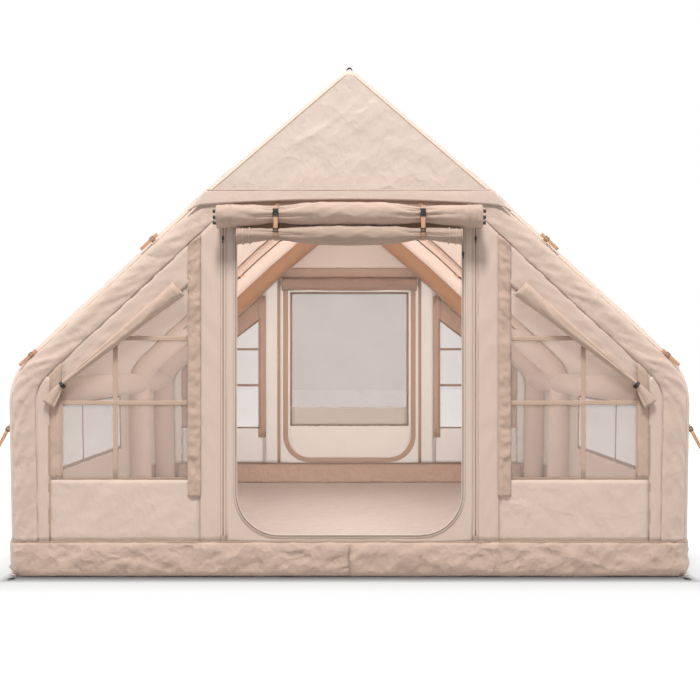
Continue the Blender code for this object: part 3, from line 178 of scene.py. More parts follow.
def cloth(name, across, up, place, paint, thick=0.003, cut=None, relief=None,
          middle=(0, 0, 1.2), body="tent", turn_in=False, held=None):
    """Cloth laid out as a grid of stations in metres, put in place by a function of two of
    them, pushed out by a relief, and given its thickness on the side away from view. The
    held argument is not used."""
    bm = bmesh.new()
    bmesh.ops.create_grid(bm, x_segments=len(across) - 1, y_segments=len(up) - 1, size=0.5)
    flat = {}
    for v in bm.verts:
        i = round((v.co.x + 0.5) * (len(across) - 1))
        j = round((v.co.y + 0.5) * (len(up) - 1))
        flat[v] = (across[i], up[j])
    layer = bm.loops.layers.uv.new("UVMap")
    for face in bm.faces:
        for loop in face.loops:
            loop[layer].uv = flat[loop.vert]
    for v, (a, b) in flat.items():
        v.co = place(a, b)
    if cut:
        gone = []
        for face in bm.faces:
            spots = [flat[v] for v in face.verts]
            a = sum(s[0] for s in spots) / len(spots)
            b = sum(s[1] for s in spots) / len(spots)
            if cut(a, b):
                gone.append(face)
        bmesh.ops.delete(bm, geom=gone, context="FACES")
    bm.normal_update()
    lean = 0
    for face in bm.faces:
        lean += face.normal.dot(face.calc_center_median() - Vector(middle)) * face.calc_area()
    if (lean < 0) != turn_in:
        bmesh.ops.reverse_faces(bm, faces=bm.faces[:])
        bm.normal_update()
    if relief:
        moves = [(v, v.normal * relief(*flat[v])) for v in bm.verts]
        for v, move in moves:
            v.co += move
    bmesh.ops.remove_doubles(bm, verts=bm.verts[:], dist=0.00002)
    made = settle(name, bm, paint, thick, body)
    if held:
        across[-1] - across[0]
        up[-1] - up[0]
    return made


def settle(name, bm, paint, thick=0, body="tent"):
    """Makes the finished bmesh an object that rides on a body of the tent."""
    mesh = bpy.data.meshes.new(name)
    bm.to_mesh(mesh)
    bm.free()
    mesh.shade_smooth()
    mesh.materials.append(paint)
    made = bpy.data.objects.new(name, mesh)
    bpy.context.scene.collection.objects.link(made)
    if thick:
        wall = made.modifiers.new("thickness", "SOLIDIFY")
        wall.thickness = thick
        wall.offset = -1
    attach(made, body)
    return made


def strip(name, path, across, paint, thick=0.002, body="tent", turn_in=False,
          middle=(0, 0, 1.2)):
    """A band of webbing or tape that follows a path; across is its width as a vector."""
    line = runs(path)
    where = dict(zip(line, path))
    wide = across if isinstance(across, list) else [across] * len(path)
    spread = dict(zip(line, wide))
    width = wide[0].length

    def place(a, b):
        return where[b] + spread[b] * (a / width - 0.5)

    half = width / 2
    return cloth(name, [0, half / 3, half, width - half / 3, width], line, place, paint, thick,
                 body=body, turn_in=turn_in, middle=middle)


FOOT_HALF, EAVE_HALF, EAVE_HEIGHT = 1.985, 2.006, 1.179


def wall_face(z):
    """Half width of the tent's outer face at a height on the side wall."""
    return FOOT_HALF + (EAVE_HALF - FOOT_HALF) * z / EAVE_HEIGHT


SIDES = (("left", -1), ("right", 1))
GUY_LEAN = math.radians(28.6)
EAVE_TAB = Vector((wall_face(0.8466) + 0.0209, 0.8466))
EAVE_TAB_Y = 1.6977 - 0.006
GUY_START = 0.0133
GUY_EYE_AT = 0.190
GUY_EYE_RADIUS = 0.006

for side_name, side in SIDES:
    down = Vector((side * math.sin(GUY_LEAN), 0, -math.cos(GUY_LEAN)))
    wide = Vector((side * math.cos(GUY_LEAN), 0, math.sin(GUY_LEAN))) * 0.020
    start = Vector((side * EAVE_TAB.x, -EAVE_TAB_Y, EAVE_TAB.y))
    off = Vector((0, 0.001, 0))
    path = [start + down * (GUY_START + (GUY_EYE_AT - 0.009 - GUY_START) * i / 12) for i in range(13)]
    strap = strip(f"{side_name}_guy_strap_webbing", [p - off for p in path], wide, webbing,
                  middle=(0, 6, 1))
    eye = start + down * GUY_EYE_AT
    loop = [start + down * 0.095 + off * 2, start + down * 0.14 + off * 1.4]
    for i in range(17):
        turn = -math.pi + 0.35 + (math.tau - 0.7) * i / 16
        around = down * math.cos(turn) - off.normalized() * math.sin(turn)
        loop.append(eye + around * GUY_EYE_RADIUS)
    sewn = strip(f"{side_name}_guy_strap_eye", loop, wide * 0.98, webbing, 0.0018, middle=tuple(eye))
    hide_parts(f"{side_name}_guy_strap")
    route = [start + down * (GUY_START + (GUY_EYE_AT + GUY_EYE_RADIUS - GUY_START) * i / 20)
             for i in range(21)]
    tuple(route[0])
    [tuple(p) for p in path]

# Studio. A white floor and backdrop, a bright even sky, a soft lamp high in front of the
# tent, and weaker ones beside, behind and inside it. None of it is part of the object.
def seen_rays(start):
    """1 for camera, mirrored and transmitted rays, 0 for the rest."""
    rays = start.node("LightPath", out=0)
    return (rays + rays.node("LightPath", out=3) + rays.node("LightPath", out=6)).clamped()


floor_mesh = bmesh.new()
bmesh.ops.create_grid(floor_mesh, x_segments=1, y_segments=1, size=30)
floor_data = bpy.data.meshes.new("studio_floor")
floor_mesh.to_mesh(floor_data)
floor_mesh.free()
floor = bpy.data.objects.new("studio_floor", floor_data)
bpy.context.scene.collection.objects.link(floor)
paper, start = start_paint("studio_paper")
rays = seen_rays(start)
matt = start.node("BsdfDiffuse", (), {"Color": (0.55, 0.55, 0.55, 1)})
# For camera rays the floor glows less close round the tent's foot, fading in over about 0.6 m: a painted
# contact shadow over the faint real one of the diffuse part.
spot = start.node("TexCoord", out=3)
past_x = spot.axis(0).math("ABSOLUTE") - 1.90
past_y = spot.axis(1).math("ABSOLUTE") - 1.81
past = past_x.math("MAXIMUM", past_x, past_y)
shade = (past / 0.11).clamped() ** 1.5 * 0.54 + (past / 0.60).clamped() * 0.48 + 0.02
floor_glow_with_painted_shadow = start.node("Emission", (), {"Color": (1, 1, 1, 1), "Strength": shade})
lit = start.node("AddShader", (), {0: start.node("BsdfDiffuse", (), {"Color": (0.12, 0.12, 0.12, 1)}),
                                   1: floor_glow_with_painted_shadow})
start.node("OutputMaterial", (), {"Surface": start.node("MixShader", (), {0: rays, 1: matt, 2: lit})})
floor_data.materials.append(paper)

world = bpy.data.worlds.new("studio")
bpy.context.scene.world = world
world.use_nodes = True
world.node_tree.nodes.clear()
start = Wire(world.node_tree, None)
sky = seen_rays(start) * 0.64 + 0.36
sky = start.node("Background", (), {"Color": (1, 1, 1, 1), "Strength": sky})
start.node("OutputWorld", (), {"Surface": sky})

for name, place, aim, size, power, tint in (
    ("top_lamp", (-0.7, -7.4, 13.5), (0, -0.8, 1.0), 2.6, 2280, (1, 0.985, 0.97)),
    ("left_lamp", (-8.0, -1.0, 4.5), (0, 0, 1.2), 4.0, 210, (1, 0.99, 0.98)),
    ("right_lamp", (8.0, -1.0, 4.5), (0, 0, 1.2), 4.0, 210, (1, 0.99, 0.98)),
    ("back_lamp", (0, 7.5, 6.0), (0, 0, 1.2), 4.0, 420, (1, 0.99, 0.97)),
    ("inside_lamp", (0, -1.3, 1.30), (0, 1.8, 1.25), 1.3, 44, (0.95, 0.98, 1)),
):
    lamp = bpy.data.lights.new(name, "AREA")
    lamp.shape = "DISK"
    lamp.size = size
    lamp.energy = power
    lamp.color = tint
    holder = bpy.data.objects.new(name, lamp)
    holder.location = place
    holder.rotation_euler = (Vector(aim) - Vector(place)).to_track_quat("-Z", "Y").to_euler()
    holder.visible_camera = False
    bpy.context.scene.collection.objects.link(holder)
bpy.context.scene.view_settings.view_transform = "Standard"

# Tub groundsheet. Welded coated cloth: a floor, a skirt turned up all round it and
# piped at its top, and webbing tabs for the stake rings at its four corners.
def canvas_paint(name, colour, glow=0, shade=0.86, rumple=0.5, seed=0, crumple=0, foot=None):
    """Cotton canvas: a plain weave, slubs in it, soft rumples, sharp crumples where it was
    folded, and paler worn patches. A foot colour is that of the cloth below 1.5 m."""
    made, start = start_paint(name)
    place = start.node("UVMap")
    spot = start.node("TexCoord", out=3)
    across = place.axis(0)
    along = place.axis(1)
    weave = (across * (math.tau / 0.0016)).sine() * (along * (math.tau / 0.0016)).sine()
    slub = place.speckle(1, 2, (18, 420, 1)) + place.speckle(1, 2, (420, 18, 1))
    worn = spot.node("VectorMath", {"operation": "ADD"}, {0: spot, 1: (seed, seed, 0)})
    clouds = worn.speckle(1.7, 4)
    ripple = worn.speckle(14, 4, (1, 1, 0.45))
    wrinkle = worn.speckle(42, 3)
    ridge = 1 - ((worn.speckle(6, 3, (1, 1, 0.6)) - 0.5).math("ABSOLUTE") * 9).clamped()
    dark = tuple(c * shade for c in colour[:3]) + (1,)
    # The tone follows the same fine wrinkle noise as the bump, so the wrinkles' hollows come out slightly
    # darker: a faint painted shade. The rest of the tone is random patches and slubs.
    tone = (clouds * 0.55 + slub * 0.32 + wrinkle * 0.12).clamped()
    height = weave * 0.05 + slub * 0.125 + (ripple * 6 + wrinkle * 1.6 + ridge * 2.4) * rumple
    if crumple:
        bent = worn.node("VectorMath", {"operation": "ADD"}, {0: worn, 1: worn.speckle(4, 3) * 0.25})
        for scale, share in ((7, 16), (17, 6)):
            height += bent.node("TexVoronoi", (), {"Vector": bent, "Scale": scale}) * (share * crumple)
    bump = height.bump(0.55, 0.0016)
    through = tuple(c ** 0.35 for c in colour[:3]) + (1,)
    tint = tone.mixed(dark, colour)
    if foot:
        rise = ((spot.axis(2) - 1.5) / 0.3).clamped()
        tint = rise.mixed(foot, tint)
    return end_paint(made, start, tint, 0.78 + clouds * 0.16, bump, glow,
                     through, Sheen_Weight=0.18, Sheen_Roughness=0.55)


skirt_paint = canvas_paint("skirt_cloth", (0.590, 0.430, 0.345, 1), glow=0.05, rumple=1.1, crumple=1.3)
ground_paint = canvas_paint("floor_cloth", (0.54, 0.44, 0.385, 1), rumple=1.3, crumple=0.5)
piping_paint = canvas_paint("piping_cloth", (0.43, 0.29, 0.21, 1), rumple=0.3)
ARCH_INSET = 0.1023
TUB_HEIGHT = 0.205
HALF_DEPTH = 1.8


def stations(step, *stops):
    """Even steps between the stops, each of which is kept."""
    line = [stops[0]]
    for start, end in zip(stops, stops[1:]):
        count = max(1, round(abs(end - start) / step))
        line += [start + (end - start) * i / count for i in range(1, count + 1)]
    return line


def folds(a, b, lean, length, width, seed=0):
    """Height of folds that all run one way: long along them, narrow across them."""
    along = a * math.cos(lean) + b * math.sin(lean)
    over = b * math.cos(lean) - a * math.sin(lean)
    return noise.noise(Vector((along / length, over / width, seed)))


def creases(a, b, lean, length, width, seed=0):
    """The same, as crests 0 to 1 high with flat cloth between them."""
    return max(0, 1 - abs(folds(a, b, lean, length, width, seed)) * 3.4) ** 1.3


def pinned(a, low, high, reach=0.04):
    """0 at a piece's sewn edges, rising to 1 inside it."""
    share = min(a - low, high - a) / reach
    return max(0, min(1, share)) ** 0.7


def round_the_tub(step):
    """Points (x, y) of the tub's plan, from the middle of its front, all the way round."""
    line = [Vector((0, -HALF_DEPTH))]
    for sx, sy, first in ((1, -1, -90), (1, 1, 0), (-1, 1, 90), (-1, -1, 180)):
        for i in range(7):
            turn = math.radians(first + 90 * i / 6)
            middle = Vector((sx * (FOOT_HALF - ARCH_INSET), sy * (HALF_DEPTH - ARCH_INSET)))
            line.append(middle + Vector((math.cos(turn), math.sin(turn))) * ARCH_INSET)
    line.append(line[0].copy())
    fine = [line[0]]
    for a, b in zip(line, line[1:]):
        count = max(1, round((b - a).length / step))
        fine += [a.lerp(b, i / count) for i in range(1, count + 1)]
    return fine


tub_line = round_the_tub(0.024)
tub_runs = runs(tub_line)
tub_at = dict(zip(tub_runs, tub_line))


def tub_place(a, b):
    spot = tub_at[a]
    out = (wall_face(b) - FOOT_HALF) * (1 if abs(spot.x) > 1.9 else 0)
    return Vector((spot.x + math.copysign(out, spot.x), spot.y, b))


def skirt_relief(a, b):
    hold = pinned(b, 0, TUB_HEIGHT, 0.05)
    big = creases(a, b, 0.42, 0.34, 0.085, 3) + creases(a, b, -0.5, 0.30, 0.08, 8)
    small = creases(a, b, 0.8, 0.12, 0.04, 5) + creases(a, b, -0.9, 0.12, 0.04, 6)
    under = max(0, 1 - b / 0.030) ** 2
    off_corner = FOOT_HALF - abs(tub_at[a].x)
    if off_corner >= 0.005:
        hold *= min(1, off_corner / 0.12 + 0.1)
    return 0.0020 - 0.014 * under + hold * (0.0088 * big + 0.0040 * small)


tub_skirt = cloth("tub_skirt", tub_runs, stations(0.02, 0.001, TUB_HEIGHT), tub_place, skirt_paint,
                  0.003, relief=skirt_relief, middle=(0, 0, 0.1))


def ground_relief(a, b):
    hold = pinned(a, -1.97, 1.97, 0.2) * pinned(b, -1.79, 1.79, 0.2)
    big = creases(a, b, 0.3, 0.7, 0.16, 1) + creases(a, b, 1.9, 0.6, 0.14, 2)
    return hold * (0.0045 * big + 0.0015 * creases(a, b, 0.9, 0.2, 0.05, 4))


tub_floor = cloth("tub_floor", stations(0.04, -1.972, 1.972), stations(0.04, -1.787, 1.787),
                  lambda a, b: Vector((a, b, 0.009)), ground_paint, 0.003, relief=ground_relief,
                  middle=(0, 0, -1))
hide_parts("tub_groundsheet")
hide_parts("tub_groundsheet")


def close_ends(made, sides):
    """Fills both ends of a tube and points its faces outwards."""
    bm = bmesh.new()
    bm.from_mesh(made.data)
    bmesh.ops.holes_fill(bm, edges=bm.edges[:], sides=sides + 1)
    bmesh.ops.recalc_face_normals(bm, faces=bm.faces[:])
    if bm.calc_volume(signed=True) < 0:
        bmesh.ops.reverse_faces(bm, faces=bm.faces[:])
    bm.to_mesh(made.data)
    bm.free()
    made.data.shade_smooth()
    return made


PIPE_SIDES = 8


def piping(name, path, radius, paint):
    """A round cord or binding laid along a path."""
    ways = [(b - a).normalized() for a, b in zip(path[:1] + path, path[1:] + path[-1:])]
    line = runs(path)
    where = dict(zip(line, zip(path, ways)))

    def place(a, b):
        here, way = where[b]
        flat = way.cross(Vector((0.13, 0.31, 0.94))).normalized()
        over = way.cross(flat)
        turn = a / radius
        return here + (flat * math.cos(turn) + over * math.sin(turn)) * radius

    around = [math.tau * radius * i / PIPE_SIDES for i in range(PIPE_SIDES + 1)]
    return close_ends(cloth(name, around, line, place, paint, 0), PIPE_SIDES)


piping("tub_piping", [Vector((p.x * 1.0019, p.y, TUB_HEIGHT - 0.004)) for p in tub_line], 0.0042,
       piping_paint)
cloth("rear_tub_inner_wall", stations(0.04, -1.76, 1.76), stations(0.03, 0, 0.20),
      lambda a, b: Vector((a, 1.700 + 0.06 * b / 0.20, 0.014 + b * 0.88)), skirt_paint, 0.002,
      turn_in=True, held="stretched",
      relief=lambda a, b: 0.005 * pinned(b, 0, 0.20, 0.05) * creases(a, b, 0.5, 0.3, 0.07, 7))
ENDS = ((-1, "front"), (1, "rear"))
black_webbing = webbing_paint("black_webbing", (0.035, 0.032, 0.030, 1), (0.012, 0.011, 0.010, 1))
for facing, end in ENDS:
    for side_name, side in SIDES:
        x, y, z = side * 1.932, facing * 1.845, 0.0048
        way = Vector((0, facing, 0))
        up = Vector((0, 0, 1))
        path = [Vector((x, facing * 1.765, 0.0017)), Vector((x, y, 0.0017)) - way * 0.006]
        for i in range(9):
            turn = -math.pi / 2 + math.pi * i / 8
            path.append(Vector((x, y, z)) + (way * math.cos(turn) + up * math.sin(turn)) * 0.0033)
        path += [Vector((x, y, 0.0054)) - way * 0.009, Vector((x, facing * 1.80, 0.0046))]
        strip(f"stake_tab_{end}_{side_name}", path, Vector((0.025, 0, 0)), black_webbing, 0.0018,
              middle=(x, y, z))

# Air frame. Three arches and four eave beams, each one an airtight tube inside a brown
# cloth cover, which creases on the inner side of its bends.
FOOT, EAVE, KNEE, RIDGE = (Vector(p) for p in (
    (FOOT_HALF, 0), (EAVE_HALF, EAVE_HEIGHT), (0.85, 2.253), (0, 2.983)))
SHOULDER_RADIUS = 0.42
RIDGE_RADIUS = 0.07
FRONT_ARCH = -1.6977
MIDDLE_ARCH = 0.7673
REAR_ARCH = 1.6977
FRONT_BAY = MIDDLE_ARCH - FRONT_ARCH
TUBE_RADIUS = 0.098
drawn = {}


def turned_in(way):
    return Vector((-way.y, way.x))


def crossing(a, along_a, b, along_b):
    return a + along_a * ((b - a).cross(along_b) / along_a.cross(along_b))


def fillet(corner, way, turn, radius, steps):
    start = corner - way * radius * math.tan(turn / 2)
    centre = start + turned_in(way) * radius
    return [centre + Matrix.Rotation(turn * i / steps, 2) @ (start - centre) for i in range(steps + 1)]


def outline(inset):
    """Right half of the tent's cross-section, foot to ridge, drawn in from the outer face."""
    if inset in drawn:
        return drawn[inset]
    corners = [FOOT, EAVE, KNEE, RIDGE]
    ways = [(b - a).normalized() for a, b in zip(corners, corners[1:])]
    starts = [a + turned_in(w) * inset for a, w in zip(corners, ways)]
    eave = crossing(starts[0], ways[0], starts[1], ways[1])
    knee = crossing(starts[1], ways[1], starts[2], ways[2])
    ridge = crossing(starts[2], ways[2], Vector((0, 0)), Vector((0, 1)))
    ground = crossing(starts[0], ways[0], Vector((0, 0)), Vector((1, 0)))
    shoulder = fillet(eave, ways[0], ways[0].angle(ways[1]), max(SHOULDER_RADIUS - inset, 0.012), 14)
    half_turn = ways[2].angle(Vector((-1, 0)))
    top = fillet(ridge, ways[2], 2 * half_turn, max(RIDGE_RADIUS - inset, 0.012), 8)[:5]
    top[-1].x = 0
    drawn[inset] = [ground, *shoulder, knee, *top]
    return drawn[inset]


OUTER_RUNS = runs(outline(0))
SHOULDER_RUN = OUTER_RUNS[1]
KNEE_RUN = OUTER_RUNS[16]
RIDGE_RUN = OUTER_RUNS[-1]


def arch_point(inset, run):
    """Point (x, z) of the cross-section at a run from the foot along its outer line."""
    line = outline(round(inset, 5))
    for i, (a, b) in enumerate(zip(OUTER_RUNS, OUTER_RUNS[1:])):
        if run <= b or i == len(OUTER_RUNS) - 2:
            return line[i].lerp(line[i + 1], (run - a) / (b - a))


def arch_runs(step, first=0.0, last=RIDGE_RUN):
    """Stations along the outer line that keep its bends."""
    stops = [first] + [r for r in OUTER_RUNS if first < r < last] + [last]
    return stations(step, *stops)


tube_paint = canvas_paint("tube_cover", (0.50, 0.285, 0.175, 1), rumple=0.6)
pale_tube_paint = canvas_paint("pale_tube_cover", (0.79, 0.635, 0.545, 1), shade=0.9, rumple=0.6)
rear_tube_paint = canvas_paint("rear_tube_cover", (0.50, 0.285, 0.175, 1), rumple=0.6,
                               foot=(0.72, 0.57, 0.485, 1))


def bend_share(run):
    """How close a run is to the shoulder's bend or the ridge."""
    middle = (SHOULDER_RUN + OUTER_RUNS[15]) / 2
    return max(math.exp(-(((run - middle) / 0.26) ** 2)), math.exp(-(((run - RIDGE_RUN) / 0.14) ** 2)))


def arch_tube(name, y, paint):
    around = 28
    line = [TUBE_RADIUS * math.tau * i / around for i in range(around + 1)]
    whole = arch_runs(0.022, first=0.012)
    whole = whole + [2 * RIDGE_RUN - r for r in whole[-2::-1]]

    def place(a, b):
        turn = a / TUBE_RADIUS
        run = b if b <= RIDGE_RUN else 2 * RIDGE_RUN - b
        inner = max(0, -math.cos(turn)) ** 0.6
        ripple = 0.5 + 0.5 * math.cos(b * math.tau / 0.052 + 1.7 * noise.noise(Vector((b * 6, turn, y))))
        radius = TUBE_RADIUS - 0.0045 - 0.009 * bend_share(run) * inner * ripple
        radius -= 0.0016 * (0.5 + 0.5 * noise.noise(Vector((b * 3, math.cos(turn), math.sin(turn) + y))))
        point = arch_point(ARCH_INSET - radius * math.cos(turn), run)
        side = 1 if b <= RIDGE_RUN else -1
        return Vector((side * point.x, y + radius * math.sin(turn), point.y))

    made = cloth(name, line, whole, place, paint, 0)
    return close_ends(made, around)


for where, y, paint in (("front", FRONT_ARCH, tube_paint), ("middle", MIDDLE_ARCH, pale_tube_paint),
                        ("rear", REAR_ARCH, rear_tube_paint)):
    tube = arch_tube(f"{where}_air_arch", y, paint)
    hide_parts(f"{where}_arch_tube")

BEAM_RADIUS = 0.0925
shoulder_start = outline(ARCH_INSET)[1]
pivot = shoulder_start - Vector((SHOULDER_RADIUS - ARCH_INSET, 0))
beam_centre = pivot + Matrix.Rotation(math.radians(11.5), 2) @ (shoulder_start - pivot)
for side_name, side in SIDES:
    for bay, low, high in (("front", FRONT_ARCH, MIDDLE_ARCH), ("rear", MIDDLE_ARCH, REAR_ARCH)):
        around = 24
        line = [BEAM_RADIUS * math.tau * i / around for i in range(around + 1)]

        def place(a, b):
            turn = a / BEAM_RADIUS
            near = min(b - low, high - b)
            radius = BEAM_RADIUS - 0.0030 - 0.004 * math.exp(-(((near - 0.11) / 0.03) ** 2))
            uneven = noise.noise(Vector((b * 5, math.cos(turn), math.sin(turn) + side)))
            radius -= 0.0014 * (0.5 + 0.5 * uneven)
            return Vector((side * (beam_centre.x + radius * math.cos(turn)), b,
                           beam_centre.y + radius * math.sin(turn)))

        beam = cloth(f"{side_name}_{bay}_air_beam", line, stations(0.03, low + 0.03, high - 0.03),
                     place, pale_tube_paint, 0)
        close_ends(beam, around)
        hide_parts(f"{side_name}_eave_beam_{bay}")

# Roof panels. Cotton canvas from the ridge down over the round shoulders; it lies on the
# three arches, sags a little between them, and is felled along the ridge and each arch.
SKIN = 0.004
roof_paint = canvas_paint("roof_cloth", (0.745, 0.600, 0.505, 1), glow=0.46, rumple=0.7, seed=2)
seam_paint = canvas_paint("seam_cloth", (0.50, 0.345, 0.26, 1), rumple=0.2)


def outward(run):
    """Direction (x, z) that faces out of the cross-section at a run."""
    low = arch_point(0, max(run - 0.02, 0))
    high = arch_point(0, min(run + 0.02, RIDGE_RUN))
    return -turned_in((high - low).normalized())


def bay_share(y):
    """0 on an arch, 1 in the middle of a bay."""
    for low, high in ((FRONT_ARCH, MIDDLE_ARCH), (MIDDLE_ARCH, REAR_ARCH)):
        if low <= y <= high:
            share = (y - low) / (high - low)
            return 4 * share * (1 - share) * (high - low) / FRONT_BAY
    return 0


def roof_relief(a, b):
    off_beam = min(1, max(0, abs(b - 1.10) - 0.08) / 0.2)
    calm = pinned(b, SHOULDER_RUN, RIDGE_RUN, 0.10) * off_beam
    sag = 0.016 * bay_share(a) * calm
    pull = math.exp(-((abs(a - MIDDLE_ARCH) - 0.12) / 0.10) ** 2) * 0.4 + 0.6
    lines = creases(a, b, 1.35, 0.55, 0.12, 11) + 0.7 * creases(a, b, 1.8, 0.45, 0.10, 14)
    return -sag + 0.0075 * calm * pull * lines + 0.001 * folds(a, b, 0.2, 0.5, 0.3)


for side_name, side in SIDES:
    panel = cloth(f"{side_name}_roof", stations(0.034, FRONT_ARCH + 0.0002, MIDDLE_ARCH, REAR_ARCH - 0.0002),
                  arch_runs(0.032, SHOULDER_RUN),
                  lambda a, b: Vector((side * arch_point(0, b).x, a, arch_point(0, b).y)),
                  roof_paint, SKIN, relief=roof_relief)
    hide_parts(f"{side_name}_roof_panel")
    seam_runs = arch_runs(0.04, SHOULDER_RUN, RIDGE_RUN - 0.03)
    seam = [arch_point(0, r) + outward(r) * 0.0006 for r in seam_runs]
    strip(f"{side_name}_roof_seam", [Vector((side * p.x, MIDDLE_ARCH, p.y)) for p in seam],
          Vector((0, 0.034, 0)), seam_paint)
cloth("ridge_seam", stations(0.0075, -0.03, 0.03), stations(0.05, FRONT_ARCH + 0.06, REAR_ARCH),
      lambda a, b: Vector((a, b, arch_point(0, RIDGE_RUN - abs(a)).y + 0.0016)), seam_paint, 0.0022)

# Side walls. One panel a side, with a long window closed by net; the cloth is bound
# round the opening.
wall_paint = canvas_paint("wall_cloth", (0.700, 0.555, 0.470, 1), glow=0.50, rumple=0.6, seed=5)
binding_paint = canvas_paint("binding_cloth", (0.53, 0.375, 0.285, 1), rumple=0.25)


def net_paint(name, colour, cover):
    """Fine knitted net: a film of threads that lets most of the light through."""
    made, start = start_paint(name)
    place = start.node("UVMap")
    across = place.axis(0)
    along = place.axis(1)
    knots = (across * (math.tau / 0.004)).sine() * (along * (math.tau / 0.004)).sine()
    hang = place.speckle(3, 3)
    shade = tuple(c * 0.90 for c in colour[:3]) + (1,)
    alpha = (knots * 0.06 + hang * 0.08 + (cover - 0.04)).clamped()
    shader = start.node("BsdfPrincipled", (), {"Base Color": hang.mixed(shade, colour), "Roughness": 0.75,
                                               "Alpha": alpha})
    start.node("OutputMaterial", (), {"Surface": shader})
    return made


window_net = net_paint("window_net", (0.52, 0.42, 0.37, 1), 0.28)
door_net = net_paint("door_net", (0.46, 0.38, 0.34, 1), 0.42)


def straight(name, start, end, wide, paint, thick, steps, turn_in=False):
    """A flat band of cloth from one point to another."""
    path = [start.lerp(end, i / steps) for i in range(steps + 1)]
    return strip(name, path, wide, paint, thick, turn_in=turn_in)


SIDE_WINDOW = (FRONT_ARCH + 0.295, FRONT_ARCH + 0.295 + 1.90, 0.51, 0.95)
PANEL_FOOT = 0.2053
WALL_HEAD = outline(SKIN)[1].y - 0.0003


def wall_relief(a, b):
    calm = pinned(a, FRONT_ARCH, REAR_ARCH, 0.1) * pinned(b, PANEL_FOOT, WALL_HEAD, 0.06)
    for edge in SIDE_WINDOW[:2]:
        calm *= min(1, abs(a - edge) / 0.05 + 0.1)
    lines = creases(a, b, 1.2, 0.5, 0.10, 21) + 0.8 * creases(a, b, 0.5, 0.4, 0.10, 23)
    return -0.0008 + calm * 0.0070 * lines


for side_name, side in SIDES:
    y0, y1, z0, z1 = SIDE_WINDOW
    panel = cloth(f"{side_name}_wall", stations(0.036, FRONT_ARCH + 0.0002, y0, y1, REAR_ARCH - 0.0002),
                  stations(0.032, PANEL_FOOT, z0, z1, WALL_HEAD),
                  lambda a, b: Vector((side * wall_face(b), a, b)), wall_paint, SKIN,
                  cut=lambda a, b: y0 < a < y1 and z0 < b < z1, relief=wall_relief)
    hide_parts(f"{side_name}_side_wall")
    net = cloth(f"{side_name}_wall_net", stations(0.06, y0 - 0.015, y1 + 0.015),
                stations(0.05, z0 - 0.015, z1 + 0.015),
                lambda a, b: Vector((side * (wall_face(b) - 0.0047), a, b)), window_net, 0.0008,
                relief=lambda a, b: -0.004 * pinned(a, y0, y1, 0.3) * pinned(b, z0, z1, 0.2))
    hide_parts(f"{side_name}_side_window")
    for name, ends, wide in (
        ("sill", ((y0 - 0.01, z0), (y1 + 0.01, z0)), Vector((0, 0, 0.022))),
        ("head", ((y0 - 0.01, z1), (y1 + 0.01, z1)), Vector((0, 0, 0.022))),
        ("front", ((y0, z0), (y0, z1)), Vector((0, 0.022, 0))),
        ("rear", ((y1, z0), (y1, z1)), Vector((0, 0.022, 0))),
        ("post", (((y0 + y1) / 2, z0), ((y0 + y1) / 2, z1)), Vector((0, 0.022, 0))),
    ):
        points = [Vector((side * (wall_face(z) + 0.0005), y, z)) for y, z in ends]
        straight(f"{side_name}_wall_window_{name}", *points, wide, binding_paint, 0.002, 8)

# Arch sleeves. Cloth wrapped over the front and the rear arch and sewn flat to the end
# wall; a cord of piping marks the seam where it leaves the arch.
SLEEVE_INSET = 0.187
sleeve_paint = canvas_paint("sleeve_cloth", (0.652, 0.502, 0.416, 1), glow=0.06, rumple=0.8, seed=9,
                            crumple=0.5)
edge_paint = canvas_paint("sleeve_edge_cloth", (0.69, 0.535, 0.445, 1), glow=0.06, rumple=0.5, seed=4)
QUARTER = ARCH_INSET * math.pi / 2
SEAM_TURN = math.radians(56)


def sleeve_section(a):
    """Inset and distance past the arch, at a run from the roof's edge round to the seam."""
    if a <= QUARTER:
        turn = a / ARCH_INSET
        return ARCH_INSET * (1 - math.cos(turn)), ARCH_INSET * math.sin(turn)
    return ARCH_INSET + a - QUARTER, ARCH_INSET


def sleeve_place(side, facing):
    def place(a, b):
        inset, past = sleeve_section(a)
        point = arch_point(inset, b)
        return Vector((side * point.x, facing * (REAR_ARCH + past), point.y))
    return place


def sleeve_relief(a, b):
    width = QUARTER + SLEEVE_INSET - ARCH_INSET
    calm = pinned(a, SEAM_TURN * ARCH_INSET, width, 0.03) if a > SEAM_TURN * ARCH_INSET else 0.25
    slack = 0.55 + 0.45 * math.exp(-(((b - 1.35) / 0.5) ** 2))
    lines = creases(a, b, 1.2, 0.55, 0.060, 31) + 0.6 * creases(a, b, 1.05, 0.30, 0.045, 37)
    height = arch_point(sleeve_section(a)[0], b).y
    covered = min(1, max(0, (2.10 - height) / 0.06))
    return 0.0016 * covered + calm * slack * covered * 0.0105 * lines


for facing, end in ENDS:
    for side_name, side in SIDES:
        width = QUARTER + SLEEVE_INSET - ARCH_INSET
        lie = arch_runs(0.020, first=PANEL_FOOT)
        across = stations(0.012, SEAM_TURN * ARCH_INSET, QUARTER, width)
        sleeve = cloth(f"{side_name}_{end}_sleeve", across, lie, sleeve_place(side, facing), sleeve_paint,
                       0.0035, relief=sleeve_relief)
        band = cloth(f"{side_name}_{end}_sleeve_edge", stations(0.012, 0, SEAM_TURN * ARCH_INSET), lie,
                     sleeve_place(side, facing), edge_paint, 0.0035, relief=lambda a, b: -0.0008)
        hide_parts(f"{end}_arch_sleeve")
        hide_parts(f"{end}_arch_sleeve")
        run = lie[-1] - lie[0]
        across[-1] - across[0]
        seam = []
        for b in lie[::2]:
            inset, past = sleeve_section(SEAM_TURN * ARCH_INSET)
            point = arch_point(inset - 0.0005, b)
            seam.append(Vector((side * point.x, facing * (REAR_ARCH + past + 0.0006), point.y)))
        piping(f"{side_name}_{end}_sleeve_piping", seam, 0.0021, seam_paint)

